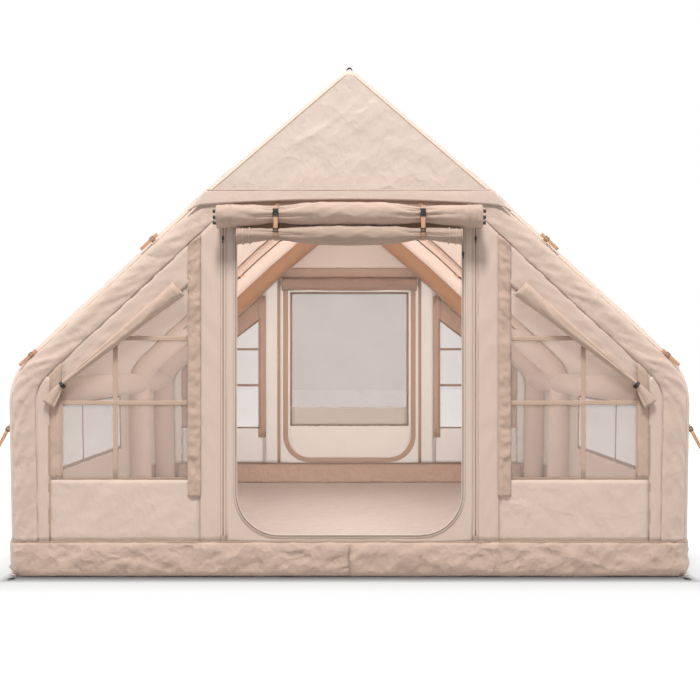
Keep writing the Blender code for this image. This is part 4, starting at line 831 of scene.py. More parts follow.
# End walls. Cotton panels sewn together between the sleeve, the tub and the door: a low
# panel, a leg strip, a header over the window, a jamb beside the door, and a ruffled
# strip that hides the flap's zip.
panel_paint = canvas_paint("panel_cloth", (0.73, 0.58, 0.49, 1), glow=0.14, rumple=0.6, seed=12, crumple=0.4)
jamb_paint = canvas_paint("jamb_cloth", (0.72, 0.56, 0.475, 1), glow=0.14, rumple=0.4, seed=15)
ruffle_paint = canvas_paint("ruffle_cloth", (0.56, 0.40, 0.315, 1), glow=0.05, rumple=0.8, seed=18,
                            crumple=0.6)
# The rear wall's cloth is written paler and greyer than the same canvas at the front: painted light, for the
# daylight that shines through it into the tent.
rear_wall_painted_light = canvas_paint("rear_wall_cloth_painted_light", (0.80, 0.735, 0.69, 1), glow=0.45, rumple=0.4, seed=19)
WINDOW_NEAR, WINDOW_FAR, WINDOW_SILL = 0.935, 1.662, 0.575
PANEL_NEAR, PANEL_FAR, PANEL_HEAD = 0.864, 1.7345, 0.567
JAMB_NEAR, HEADER_NEAR = 0.7335, 0.898
LEG_CUT = 0.083


def seam_height(x):
    """Height of the sleeve's inner seam at a half width."""
    line = outline(SLEEVE_INSET)
    for a, b in zip(line, line[1:]):
        if b.x <= x <= a.x:
            return a.y + (b.y - a.y) * (x - a.x) / (b.x - a.x)
    return line[-1].y


def width_at(inset, z):
    """Half width at a height of the cross-section drawn in by an inset."""
    line = outline(inset)
    for a, b in zip(line, line[1:]):
        if a.y <= z <= b.y:
            return a.x + (b.x - a.x) * (z - a.y) / (b.y - a.y)
    return 0.0


def window_head(x):
    return 1.680 - (1.680 - 1.125) / (WINDOW_FAR - WINDOW_NEAR) * (x - WINDOW_NEAR)


def level(z):
    return lambda x: z


def wall_piece(name, side, facing, across, low, high, paint, face=HALF_DEPTH, step=0.03, relief=None,
               thick=0.003):
    """A panel of an end wall between two edges, each given as a height at a half width."""
    tall = max(high(x) - low(x) for x in across)
    cut = sum(high(x) - low(x) for x in across) / len(across) * (across[-1] - across[0])

    def place(a, b):
        bottom = low(a)
        return Vector((side * a, facing * face, bottom + (high(a) - bottom) * b / tall))

    return cloth(f"{side_name}_{name}", across, stations(step, 0, tall), place, paint, thick, relief=relief,
                 held="stretched")


for facing, end in ENDS:
    rear = facing > 0
    plain = rear_wall_painted_light if rear else jamb_paint
    trim = ruffle_paint if rear else jamb_paint
    for side_name, side in SIDES:
        low_panel = wall_piece(
            f"{end}_low_panel", side, facing, stations(0.03, PANEL_NEAR, PANEL_FAR), level(PANEL_FOOT),
            level(PANEL_HEAD), rear_wall_painted_light if rear else panel_paint,
            relief=lambda a, b: -0.0006 + 0.0085 * pinned(a, PANEL_NEAR, PANEL_FAR) * pinned(b, 0, 0.36)
            * creases(a, b, 2.42, 0.40, 0.060, 41))
        leg_strip = cloth(
            f"{side_name}_{end}_leg_strip", stations(0.02, 0, LEG_CUT), stations(0.03, PANEL_FOOT, 1.16),
            lambda a, b: Vector((
                side * (PANEL_FAR + (width_at(SLEEVE_INSET, b) + 0.003 - PANEL_FAR) * a / LEG_CUT),
                facing * 1.7995, b)),
            plain, 0.003, held="stretched",
            relief=lambda a, b: -0.001 + 0.005 * creases(a, b, 1.3, 0.4, 0.04, 42))
        far_strip = wall_piece(
            f"{end}_window_strip", side, facing, stations(0.0175, WINDOW_FAR, PANEL_FAR), level(PANEL_HEAD),
            seam_height, ruffle_paint,
            relief=lambda a, b: -0.0006 + 0.0070 * pinned(a, WINDOW_FAR, PANEL_FAR, 0.02)
            * creases(a, b, 0.9, 0.10, 0.035, 43))
        header = wall_piece(
            f"{end}_window_header", side, facing, stations(0.03, HEADER_NEAR, WINDOW_FAR), window_head,
            seam_height, trim,
            relief=lambda a, b: -0.001 + 0.0105 * creases(a, b, -0.40, 0.60, 0.035, 45))
        jamb = wall_piece(
            f"{end}_jamb", side, facing, stations(0.02, JAMB_NEAR, HEADER_NEAR), level(PANEL_FOOT),
            seam_height, plain, step=0.035,
            relief=lambda a, b: -0.0012 + 0.0060 * pinned(a, JAMB_NEAR, PANEL_NEAR, 0.03)
            * creases(a, b, 1.25, 0.5, 0.05, 47))
        post = wall_piece(
            f"{end}_window_post_strip", side, facing, stations(0.0185, HEADER_NEAR, WINDOW_NEAR),
            level(PANEL_HEAD), window_head, trim)
        ruffle = wall_piece(
            f"{end}_ruffle", side, facing, stations(0.011, 0.858, WINDOW_NEAR), level(0.4665),
            lambda x: seam_height(x) - 0.006, ruffle_paint, face=1.8033, step=0.016, thick=0.002,
            relief=lambda a, b: 0.0016 + 0.0085 * pinned(a, 0.858, WINDOW_NEAR, 0.018)
            * (creases(a, b, 0.55, 0.12, 0.05, 49) + creases(a, b, -0.6, 0.12, 0.05, 50)))
        for piece in (low_panel, leg_strip, far_strip, header, jamb, post, ruffle):
            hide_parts("rear_wall" if rear else f"{side_name}_front_wall")
        net = wall_piece(
            f"{end}_window_net_cloth", side, facing,
            stations(0.05, WINDOW_NEAR - 0.015, WINDOW_FAR + 0.015), level(WINDOW_SILL - 0.015),
            lambda x: window_head(x) + 0.015, window_net, face=1.7955, step=0.05, thick=0.0008)
        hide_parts(f"{side_name}_{end}_window")
        bars = [("sill", (WINDOW_NEAR, 0.571), (PANEL_FAR, 0.571), (0, 0.012), piping_paint),
                ("foot_seam", (PANEL_NEAR, 0.2085), (PANEL_FAR, 0.2085), (0, 0.010), piping_paint),
                ("outer_seam", (PANEL_FAR, PANEL_FOOT), (PANEL_FAR, seam_height(PANEL_FAR)), (0.013, 0),
                 piping_paint),
                ("outer_edge", (WINDOW_FAR, PANEL_HEAD), (WINDOW_FAR, window_head(WINDOW_FAR)), (0.010, 0),
                 seam_paint),
                ("near_edge", (PANEL_NEAR, PANEL_FOOT), (PANEL_NEAR, 0.48), (0.008, 0), seam_paint),
                ("post_bar", (1.353, PANEL_HEAD), (1.353, window_head(1.353)), (0.026, 0), binding_paint),
                ("low_rail", (WINDOW_NEAR, 1.008), (WINDOW_FAR, 1.008), (0, 0.026), binding_paint),
                ("high_rail", (WINDOW_NEAR, 1.381), (1.330, 1.381), (0, 0.026), binding_paint),
                ("head_seam", (WINDOW_NEAR, 1.680), (WINDOW_FAR, 1.125), (0.0073, 0.0095), seam_paint)]
        for order, (name, *ends, wide, paint) in enumerate(bars):
            points = [Vector((side * x, facing * (1.8004 + 0.0002 * order), z)) for x, z in ends]
            over = Vector((side * wide[0], 0, wide[1]))
            straight(f"{side_name}_{end}_{name}", *points, over, paint, 0.0026, 12)

# Door surround. A U-shaped canvas frame between the straight zips, with a pale binding
# round the doorway and, beside it, the coil of the round door's zip. The rear is alike,
# without that coil.
ZIP_X = 0.730
OPENING_HALF, OPENING_SILL, OPENING_RADIUS = 0.649, 0.246, 0.243
PANEL_EDGE = 0.7153
SURROUND_WIDTH = 0.066
surround_paint = canvas_paint("surround_cloth", (0.70, 0.56, 0.475, 1), glow=0.12, rumple=0.4, seed=22)
frame_paint = canvas_paint("door_binding_cloth", (0.70, 0.585, 0.51, 1), glow=0.05, rumple=0.3, seed=25)
coil_made, start = start_paint("zip_coil")
place = start.node("UVMap")
along = place.axis(1)
across = place.axis(0)
teeth = ((along + across * 0.3) * (math.tau / 0.0019)).sine() * 0.5 + 0.5
bump = teeth.bump(0.8, 0.0008)
coil_tone = teeth.mixed((0.20, 0.135, 0.10, 1), (0.42, 0.31, 0.24, 1))
coil_paint = end_paint(coil_made, start, coil_tone, 0.45, bump)


def door_path(grow, head):
    """Points (x, z) round the doorway from its left head down, along the sill and up."""
    half = OPENING_HALF + grow
    sill = OPENING_SILL - grow
    bend = OPENING_RADIUS + grow
    line = [Vector((-half, z)) for z in stations(0.05, head, sill + bend)]
    for i in range(1, 13):
        turn = math.pi / 2 * i / 12
        line.append(Vector((-half + bend * (1 - math.cos(turn)), sill + bend * (1 - math.sin(turn)))))
    foot = stations(0.05, -half + bend, half - bend)[1:]
    line += [Vector((x, sill)) for x in foot]
    return line + [Vector((-p.x, p.y)) for p in line[::-1] if p.x <= -half + bend][1:]


def square_path(path, edge, foot):
    """The surround's outer edge, matched point by point with the doorway's edge."""
    line = []
    for p in path:
        lift = p.y - OPENING_SILL
        if abs(p.x) >= OPENING_HALF - 0.0001 or lift > OPENING_RADIUS:
            line.append(Vector((math.copysign(edge, p.x), p.y)))
        elif lift > 0.0001:
            turn = math.asin(min(1, max(0, 1 - lift / OPENING_RADIUS))) / (math.pi / 2)
            if turn < 0.5:
                high = OPENING_SILL + OPENING_RADIUS
                line.append(Vector((math.copysign(edge, p.x), high + (foot - high) * turn * 2)))
            else:
                inner = OPENING_HALF - OPENING_RADIUS
                line.append(Vector((math.copysign(edge + (inner - edge) * (turn * 2 - 1), p.x), foot)))
        else:
            line.append(Vector((p.x, foot)))
    return line


def door_surround(name, facing, head):
    paint = rear_wall_painted_light if facing > 0 else surround_paint
    inner = door_path(0, head)
    outer = square_path(inner, PANEL_EDGE, PANEL_FOOT)
    line = runs(inner)
    ends = dict(zip(line, zip(inner, outer)))

    def place(a, b):
        near, far = ends[b]
        spot = near.lerp(far, a / SURROUND_WIDTH)
        return Vector((spot.x, facing * HALF_DEPTH, spot.y))

    return cloth(name, stations(0.011, 0, SURROUND_WIDTH), line, place, paint, 0.0036, held="stretched",
                 relief=lambda a, b: -0.0008 + 0.0024 * folds(a, b, 1.4, 0.5, 0.04, 51))


def lay_round(name, grow, width, head, y, paint, thick):
    """A band laid round the doorway, its middle a given way out from the edge."""
    path = door_path(grow, head)
    ways = []
    for i, p in enumerate(path):
        way = path[min(i + 1, len(path) - 1)] - path[max(i - 1, 0)]
        way = turned_in(way.normalized()) * width
        ways.append(Vector((way.x, 0, way.y)))
    return strip(name, [Vector((p.x, y, p.y)) for p in path], ways, paint, thick)


def upright(name, x, y, low, high, width, paint, thick, step=0.05, turn_in=False):
    """A flat band that runs straight up an end wall."""
    path = [Vector((x, y, z)) for z in stations(step, low, high)]
    return strip(name, path, Vector((width, 0, 0)), paint, thick, turn_in=turn_in)


FRONT_HEAD = seam_height(PANEL_EDGE) - 0.004
REAR_HEAD = 2.05
for facing, end, head in ((-1, "front", FRONT_HEAD), (1, "rear", REAR_HEAD)):
    surround = door_surround(f"{end}_door_surround_cloth", facing, head)
    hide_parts("door_surround" if facing < 0 else "rear_wall")
    lay_round(f"{end}_door_binding", 0.0095, 0.019, head - 0.004, facing * 1.8004, frame_paint, 0.0024)
    if facing < 0:
        lay_round("round_door_coil", 0.008, 0.006, head - 0.010, -1.8021, coil_paint, 0.0022)
        lay_round("round_door_seam", 0.021, 0.003, head - 0.006, -1.8012, seam_paint, 0.0010)
    for side_name, side in SIDES:
        x, top = side * ZIP_X, seam_height(ZIP_X) - 0.008
        upright(f"{side_name}_{end}_zip_tape", x, facing * 1.8006, PANEL_FOOT, top, 0.0345, jamb_paint,
                0.0016)
        upright(f"{side_name}_{end}_zip_coil", x, facing * 1.8023, 0.24, top - 0.006, 0.006, coil_paint,
                0.0020)
        for which, shift in (("near", -0.0145), ("far", 0.0145)):
            upright(f"{side_name}_{end}_zip_stitch_{which}", x + shift, facing * 1.8011, PANEL_FOOT, top,
                    0.003, seam_paint, 0.0010)

# Rear door and gable. The rear door is shut: a canvas panel with a large net window, the
# canvas of the gable above it, both seen through the open front.
gable_paint = canvas_paint("gable_cloth", (0.70, 0.575, 0.495, 1), glow=0.40, rumple=0.5, seed=28)
# The rear door's cloth is written paler and greyer too: painted light, for the daylight that shines through
# it.
rear_door_painted_light = canvas_paint("rear_door_cloth_painted_light", (0.81, 0.73, 0.67, 1), glow=0.45, rumple=0.5, seed=30)
NET_HALF, NET_SILL, NET_HEAD = 0.600, 0.60, 1.96


def door_half(z):
    """Half width of the doorway at a height."""
    if z >= OPENING_SILL + OPENING_RADIUS:
        return OPENING_HALF
    drop = OPENING_SILL + OPENING_RADIUS - z
    return OPENING_HALF - OPENING_RADIUS + math.sqrt(max(0, OPENING_RADIUS**2 - drop**2))


rear_door = cloth("rear_door_cloth_painted_light", stations(0.035, -OPENING_HALF, -NET_HALF, NET_HALF, OPENING_HALF),
                  stations(0.03, OPENING_SILL, NET_SILL, NET_HEAD, REAR_HEAD),
                  lambda a, b: Vector((a / OPENING_HALF * (door_half(b) - 0.0003), 1.7998, b)),
                  rear_door_painted_light, 0.0036, cut=lambda a, b: abs(a) < NET_HALF and NET_SILL < b < NET_HEAD,
                  held="stretched",
                  relief=lambda a, b: -0.001 + 0.002 * creases(a, b, 0.6, 0.3, 0.06, 53)
                  * pinned(a, -0.64, 0.64, 0.04) * pinned(b, 0.25, 0.60, 0.06))
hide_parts("rear_door")
net = cloth("rear_door_net_cloth", stations(0.05, -0.615, 0.615), stations(0.05, 0.585, 1.975),
            lambda a, b: Vector((a, 1.7954, b)), door_net, 0.0008, held="stretched")
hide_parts("rear_door_net")
gable = cloth("rear_gable", stations(0.04, -JAMB_NEAR, JAMB_NEAR), stations(0.035, 0, 1),
              lambda a, b: Vector((a, HALF_DEPTH, REAR_HEAD + (seam_height(abs(a)) - REAR_HEAD) * b)),
              gable_paint, 0.0036,
              relief=lambda a, b: -0.001 + 0.0035 * creases(a, b, 0.6, 0.4, 0.08, 55) * pinned(b, 0, 1, 0.1))
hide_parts("rear_wall")
for name, ends, wide in (
    ("head", ((-0.70, REAR_HEAD), (0.70, REAR_HEAD)), (0, 0, 0.03)),
    ("net_sill", ((-NET_HALF, NET_SILL), (NET_HALF, NET_SILL)), (0, 0, 0.018)),
    ("net_head", ((-NET_HALF, NET_HEAD), (NET_HALF, NET_HEAD)), (0, 0, 0.018)),
    ("net_left", ((-NET_HALF, NET_SILL), (-NET_HALF, NET_HEAD)), (0.018, 0, 0)),
    ("net_right", ((NET_HALF, NET_SILL), (NET_HALF, NET_HEAD)), (0.018, 0, 0)),
):
    for part, y, thick in (("", 1.8004, 0.0020), ("inner_", 1.7950, 0.0016)):
        points = [Vector((x, y, z)) for x, z in ends]
        straight(f"rear_door_{part}{name}", *points, Vector(wide), binding_paint, thick, 16, bool(part))
lay_round("rear_door_inner_binding", 0.012, 0.050, REAR_HEAD, 1.7955, binding_paint, 0.0016)
for side_name, side in SIDES:
    for which, shift in (("near", -0.004), ("far", 0.016)):
        upright(f"{side_name}_rear_inner_seam_{which}", side * (OPENING_HALF + shift), 1.7936, 0.50,
                REAR_HEAD, 0.004, seam_paint, 0.0010, 0.1, turn_in=True)
    upright(f"{side_name}_rear_inner_zip", side * ZIP_X, 1.7955, PANEL_FOOT, 2.28, 0.030, seam_paint, 0.0016,
            0.1, turn_in=True)
    upright(f"{side_name}_rear_inner_ruffle", side * 0.905, 1.7950, 0.47, 1.93, 0.075, ruffle_paint, 0.0016,
            0.1, turn_in=True)
cloth("rear_door_band", stations(0.05, -0.60, 0.60), stations(0.02, 0.60, 0.78),
      lambda a, b: Vector((a, 1.7942, b)), rear_door_painted_light, 0.0010, turn_in=True, held="stretched")
# A dark band inside the rear gable over the door: painted shade, for the shadow of a hood's hem on the
# gable's outside seen through the cloth.
cloth("rear_gable_painted_shade_band", stations(0.05, -0.735, 0.735), stations(0.02, 2.115, 2.225),
      lambda a, b: Vector((a, 1.7950, b)), ruffle_paint, 0.0010, turn_in=True, held="stretched")

# Gable hood. A triangle of canvas over the front gable, sewn along the arch seams, with
# a deep doubled hem whose lower edge hangs in a shallow curve.
hood_paint = canvas_paint("hood_cloth", (0.685, 0.560, 0.482, 1), glow=0.02, rumple=0.6, seed=33,
                          crumple=0.45)
hem_paint = canvas_paint("hem_cloth", (0.705, 0.565, 0.485, 1), glow=0.03, rumple=0.5, seed=35)
HOOD_INSET = 0.045
HEM_BEND_X, HEM_HEAD, HEM_MIDDLE, HEM_BEND, HOOD_TIP = 0.8716, 2.2415, 2.181, 2.148, 2.117
HOOD_HALF = width_at(HOOD_INSET, HOOD_TIP)
HOOD_TOP = outline(HOOD_INSET)[-1].y


def hem_height(x):
    x = abs(x)
    if x <= HEM_BEND_X:
        return HEM_MIDDLE + (HEM_BEND - HEM_MIDDLE) * (x / HEM_BEND_X) ** 2
    return HEM_BEND + (HOOD_TIP - HEM_BEND) * (x - HEM_BEND_X) / (HOOD_HALF - HEM_BEND_X)


def hood_place(a, b):
    share = (b - HOOD_TIP) / (HOOD_TOP - HOOD_TIP)
    x = a / HOOD_HALF * width_at(HOOD_INSET, b)
    low = hem_height(a)
    return Vector((x, -1.8043, b + (low - HOOD_TIP) * (1 - share) ** 4))


def hood_relief(a, b):
    spot = hood_place(a, b)
    calm = pinned(abs(spot.x), -1, width_at(HOOD_INSET, b), 0.10) * min(1, max(0, spot.z - HEM_HEAD) / 0.10)
    some = max(0, min(1, 0.35 + 2.2 * noise.noise(Vector((spot.x * 1.9, spot.z * 2.4, 66)))))
    rising = creases(spot.x, spot.z, 0.62, 0.75, 0.11, 61)
    falling = creases(spot.x, spot.z, 2.55, 0.60, 0.13, 62)
    return calm * some * 0.0034 * (rising + 0.7 * falling)


hood = cloth("gable_hood_cloth", stations(0.014, -HOOD_HALF, HOOD_HALF), stations(0.014, HOOD_TIP, HOOD_TOP),
             hood_place, hood_paint, 0.0036, relief=hood_relief)
hem = cloth("gable_hood_hem", stations(0.02, -0.94, 0.94), stations(0.012, 0, 0.08),
            lambda a, b: Vector((a * (1 - 0.115 * b / 0.08), -1.8060,
                                 hem_height(a) + (HEM_HEAD - hem_height(a)) * b / 0.08)), hem_paint, 0.0020,
            relief=lambda a, b: 0.0030 + 0.0012 * folds(a, b, 0.1, 0.3, 0.03, 64))
for piece in (hood, hem):
    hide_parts("gable_hood")
2 * HOOD_HALF
HOOD_HALF * (HOOD_TOP - HOOD_TIP) * 0.98
path = [Vector((x, -1.8100, HEM_HEAD - 0.004)) for x in stations(0.05, -0.82, 0.82)]
strip("hood_hem_stitch", path, Vector((0, 0, 0.0035)), seam_paint, 0.0010)
for side_name, side in SIDES:
    path = [Vector((side * (width_at(HOOD_INSET, z) - 0.004), -1.8052, z))
            for z in stations(0.04, 2.13, 2.90)]
    wide = Vector((side * 0.76, 0, 0.65)) * 0.006
    strip(f"{side_name}_hood_edge", path, wide, seam_paint, 0.0012)

# A sheet of dark brown cloth behind the rolls, under the hood: its colour is painted shade, for the shadow
# between and above the rolls.
shadow_paint = canvas_paint("door_head_cloth_painted_shade", (0.46, 0.315, 0.235, 1), rumple=0.4, seed=38)
HEAD_FOOT = 1.985
head_cloth = cloth("door_head_cloth_painted_shade", stations(0.06, -0.70, 0.70), stations(0.03, HEAD_FOOT, 2.235),
                   lambda a, b: Vector((a * (0.91 + 0.09 * min(1, (b - HEAD_FOOT) / 0.06)), -1.7992, b)),
                   shadow_paint, 0.0030, held="stretched")
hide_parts("gable_hood")

# Door rolls. The canvas door and, under it, the net door are wound up on themselves and
# pinched by their ties; every turn of the cloth is there, and shows at the open ends.
# The rolls are written much darker than the same canvas on the walls: painted shade, for the shadow under the
# hood and in their own folds; the net door's roll, under the canvas one, and the rear cover's roll are darker
# still.
door_roll_painted_shade = canvas_paint("rolled_cloth_painted_shade", (0.50, 0.365, 0.290, 1), rumple=0.9, seed=41, crumple=0.3)
net_roll_painted_shade = canvas_paint("rolled_net_door_cloth_painted_shade", (0.42, 0.300, 0.235, 1), rumple=0.9, seed=43)
rear_roll_painted_shade = canvas_paint("rolled_rear_cover_cloth_painted_shade", (0.38, 0.265, 0.205, 1), rumple=0.9, seed=44)
TURN_STEP = 0.08
WIND_SIDES = 56


def wound(name, places, turns, paint, pleats=7):
    """Cloth wound on itself from its free edge inwards, along a row of places. A place is
    its centre, the two ways and half widths of its section, and how hard a tie grips it."""
    line = runs([p[0] for p in places])
    at = dict(zip(line, places))
    winds = [math.tau * i / WIND_SIDES for i in range(turns * WIND_SIDES + 1)]
    mean = sum(p[3] for p in places) / len(places)
    reel = [0]
    for a, b in zip(winds, winds[1:]):
        reel.append(reel[-1] + mean * (b - a) * (1 - TURN_STEP * a / math.tau))
    turn_at = dict(zip(reel, winds))

    def place(a, b):
        centre, across, out, half_a, half_o, grip = at[b]
        turn = turn_at[a]
        share = 1 - TURN_STEP * turn / math.tau
        wander = 2.5 * noise.noise(Vector((b * 4, turn * 0.4, 2)))
        fold = 1 - 0.42 * grip * (1 - abs(math.sin(pleats * turn / 2 + wander)) ** 0.7)
        slack = 1 + 0.06 * (1 - grip) * (creases(b, turn * 0.06, 0.35, 0.30, 0.05, 71)
                                         + creases(b, turn * 0.06, -0.4, 0.26, 0.05, 72)) * min(1, turn * 2)
        reach = share * fold * slack
        return centre + (across * half_a * math.cos(turn) + out * half_o * math.sin(turn)) * reach

    made = cloth(name, reel, line, place, paint, 0.0016,
                 middle=tuple(places[len(places) // 2][0]))
    return made


TIE_X = 0.416
OUTER_ROLL = (0.753, 0.0655, 0.050, -1.8648, 2.083)
INNER_ROLL = (0.640, 0.0475, 0.036, -1.8758, 1.972)
REAR_ROLL = (0.690, 0.0655, 0.0655, 1.7342, 2.046)
OUTER_DROOP, INNER_DROOP = 0.012, 0.016


def roll_places(half, radius, pinch, y, z, sag=0.0, droop=0.0, belly=0.0):
    places = []
    for x in stations(0.022, -half, -TIE_X, 0, TIE_X, half):
        off = max(abs(abs(x) - TIE_X) - 0.0135, 0)
        grip = math.exp(-((off / 0.11) ** 1.4))
        middle = max(0, 1 - (x / TIE_X) ** 2)
        size = radius + belly * middle - (radius - pinch) * grip
        end = max(0, (abs(x) - TIE_X - 0.02) / (half - TIE_X))
        centre = Vector((x, y, z - sag * middle - droop * end))
        places.append((centre, Vector((0, 0, -1)), Vector((0, -1, 0)), size, size, grip))
    return places


outer_roll = wound("canvas_door_roll", roll_places(*OUTER_ROLL, -0.004, OUTER_DROOP, 0.002), 7, door_roll_painted_shade,
                   pleats=8)
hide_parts("outer_door_roll")
inner_roll = wound("net_door_roll", roll_places(*INNER_ROLL, 0.010, INNER_DROOP, 0.009), 8,
                   net_roll_painted_shade)
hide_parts("inner_door_roll")
rear_roll = wound("rear_cover_roll", roll_places(*REAR_ROLL), 7, rear_roll_painted_shade)
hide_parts("rear_door_roll")
for side_name, side in SIDES:
    for number, height in enumerate((2.030, 2.062, 2.096)):
        toggle = Vector((side * 0.762, -1.905, height))
        turns = [math.tau * i / 12 for i in range(13)]
        path = [toggle + Vector((0, math.sin(t), math.cos(t))) * 0.010 for t in turns]
        strip(f"{side_name}_roll_toggle_{number}", path, Vector((0.018, 0, 0)), black_webbing, 0.004,
              middle=tuple(toggle))
    for roll_name, roll, droop in (("canvas", OUTER_ROLL, OUTER_DROOP), ("net", INNER_ROLL, INNER_DROOP)):
        half, radius, _, y, z = roll
        for edge, x in (("end", half - 0.004), ("cuff", half - 0.036), ("second_cuff", half - 0.075)):
            drop = droop * (x - TIE_X - 0.02) / (half - TIE_X)
            centre = Vector((side * x, y, z - drop))
            path = []
            for i in range(30):
                turn = math.tau * i / 30
                reach = radius * (1 - TURN_STEP * turn / math.tau) + 0.0030
                path.append(centre - Vector((0, math.sin(turn), math.cos(turn))) * reach)
            strip(f"{side_name}_{roll_name}_roll_{edge}_stitch", path, Vector((0.0055, 0, 0)), seam_paint,
                  0.0030, middle=tuple(centre))

# Door ties. A webbing loop hangs from a tab on the gable round both rolls; a moulded
# side-release buckle closes it in front, and a ladder lock takes up its tail.
BUCKLE_WIDTH, BUCKLE_DEPTH = 0.034, 0.008
BUCKLE_MOUTH, SOCKET_LENGTH = 2.082, 0.026
LOCK_SILL = 1.975
TIE_FRONT = -1.9192
TIE_BACK = -1.8013
TIE_GAP = 0.0014


def moulded_paint(name, dark, light):
    """Black moulded plastic: satin, faintly grained, rubbed paler on its corners."""
    made, start = start_paint(name)
    spot = start.node("TexCoord", out=3)
    grain = spot.speckle(900, 2)
    worn = spot.speckle(70, 4)
    rubbed = start.node("NewGeometry", out=7)
    edge = ((rubbed - 0.5) * 3 * worn).clamped()
    bump = grain.bump(0.25, 0.0003)
    return end_paint(made, start, edge.mixed(dark, light), 0.30 + worn * 0.18, bump)


plastic = moulded_paint("black_plastic", (0.011, 0.010, 0.0095, 1), (0.055, 0.05, 0.046, 1))


def blocks(name, boxes, paint, bevel=0.0012, body="tent", turned=None, at=(0, 0, 0)):
    """Moulded bars and plates, each with rounded edges, joined in one piece."""
    bm = bmesh.new()
    for centre, size in boxes:
        one = bmesh.new()
        bmesh.ops.create_cube(one, size=1)
        bmesh.ops.scale(one, verts=one.verts, vec=size)
        round_by = min(bevel, min(size) * 0.35)
        bmesh.ops.bevel(one, geom=one.edges[:], offset=round_by, offset_type="OFFSET", segments=2,
                        profile=0.5, affect="EDGES", material=-1)
        bmesh.ops.translate(one, verts=one.verts, vec=centre)
        spare = bpy.data.meshes.new("spare")
        one.to_mesh(spare)
        one.free()
        bm.from_mesh(spare)
        bpy.data.meshes.remove(spare)
    if turned:
        bmesh.ops.transform(bm, matrix=turned, verts=bm.verts)
    bmesh.ops.translate(bm, verts=bm.verts, vec=at)
    made = settle(name, bm, paint, 0, body)
    made.data.set_sharp_from_angle(angle=math.radians(50))
    return made


def tie_path():
    """From the buckle over the outer roll, down the wall and under the inner roll."""
    over_pinch, _, over_z = OUTER_ROLL[2:]
    under_pinch, *under = INNER_ROLL[2:]
    middle = (TIE_FRONT + TIE_BACK) / 2
    half = (TIE_BACK - TIE_FRONT) / 2
    spring = BUCKLE_MOUTH + SOCKET_LENGTH - 0.001
    rise = over_z + over_pinch + TIE_GAP - spring
    path = [Vector((TIE_FRONT, spring - 0.001))]
    path += [Vector((middle - half * math.cos(math.pi * i / 14), spring + rise * math.sin(math.pi * i / 14)))
             for i in range(15)]
    leave = Vector((TIE_BACK, 2.030))
    path += [Vector((TIE_BACK, z)) for z in (2.08, 2.055, 2.030)]
    roll = Vector(under)
    radius = under_pinch + TIE_GAP
    spoke = leave - roll
    first = math.atan2(spoke.y, spoke.x) - math.acos(radius / spoke.length)
    path += [roll + radius * Vector((math.cos(first + (-math.pi - first) * i / 14),
                                     math.sin(first + (-math.pi - first) * i / 14))) for i in range(15)]
    path.append(Vector((TIE_FRONT + 0.0026, LOCK_SILL + 0.002)))
    path.append(Vector((TIE_FRONT + 0.0026, LOCK_SILL + 0.020)))
    return path


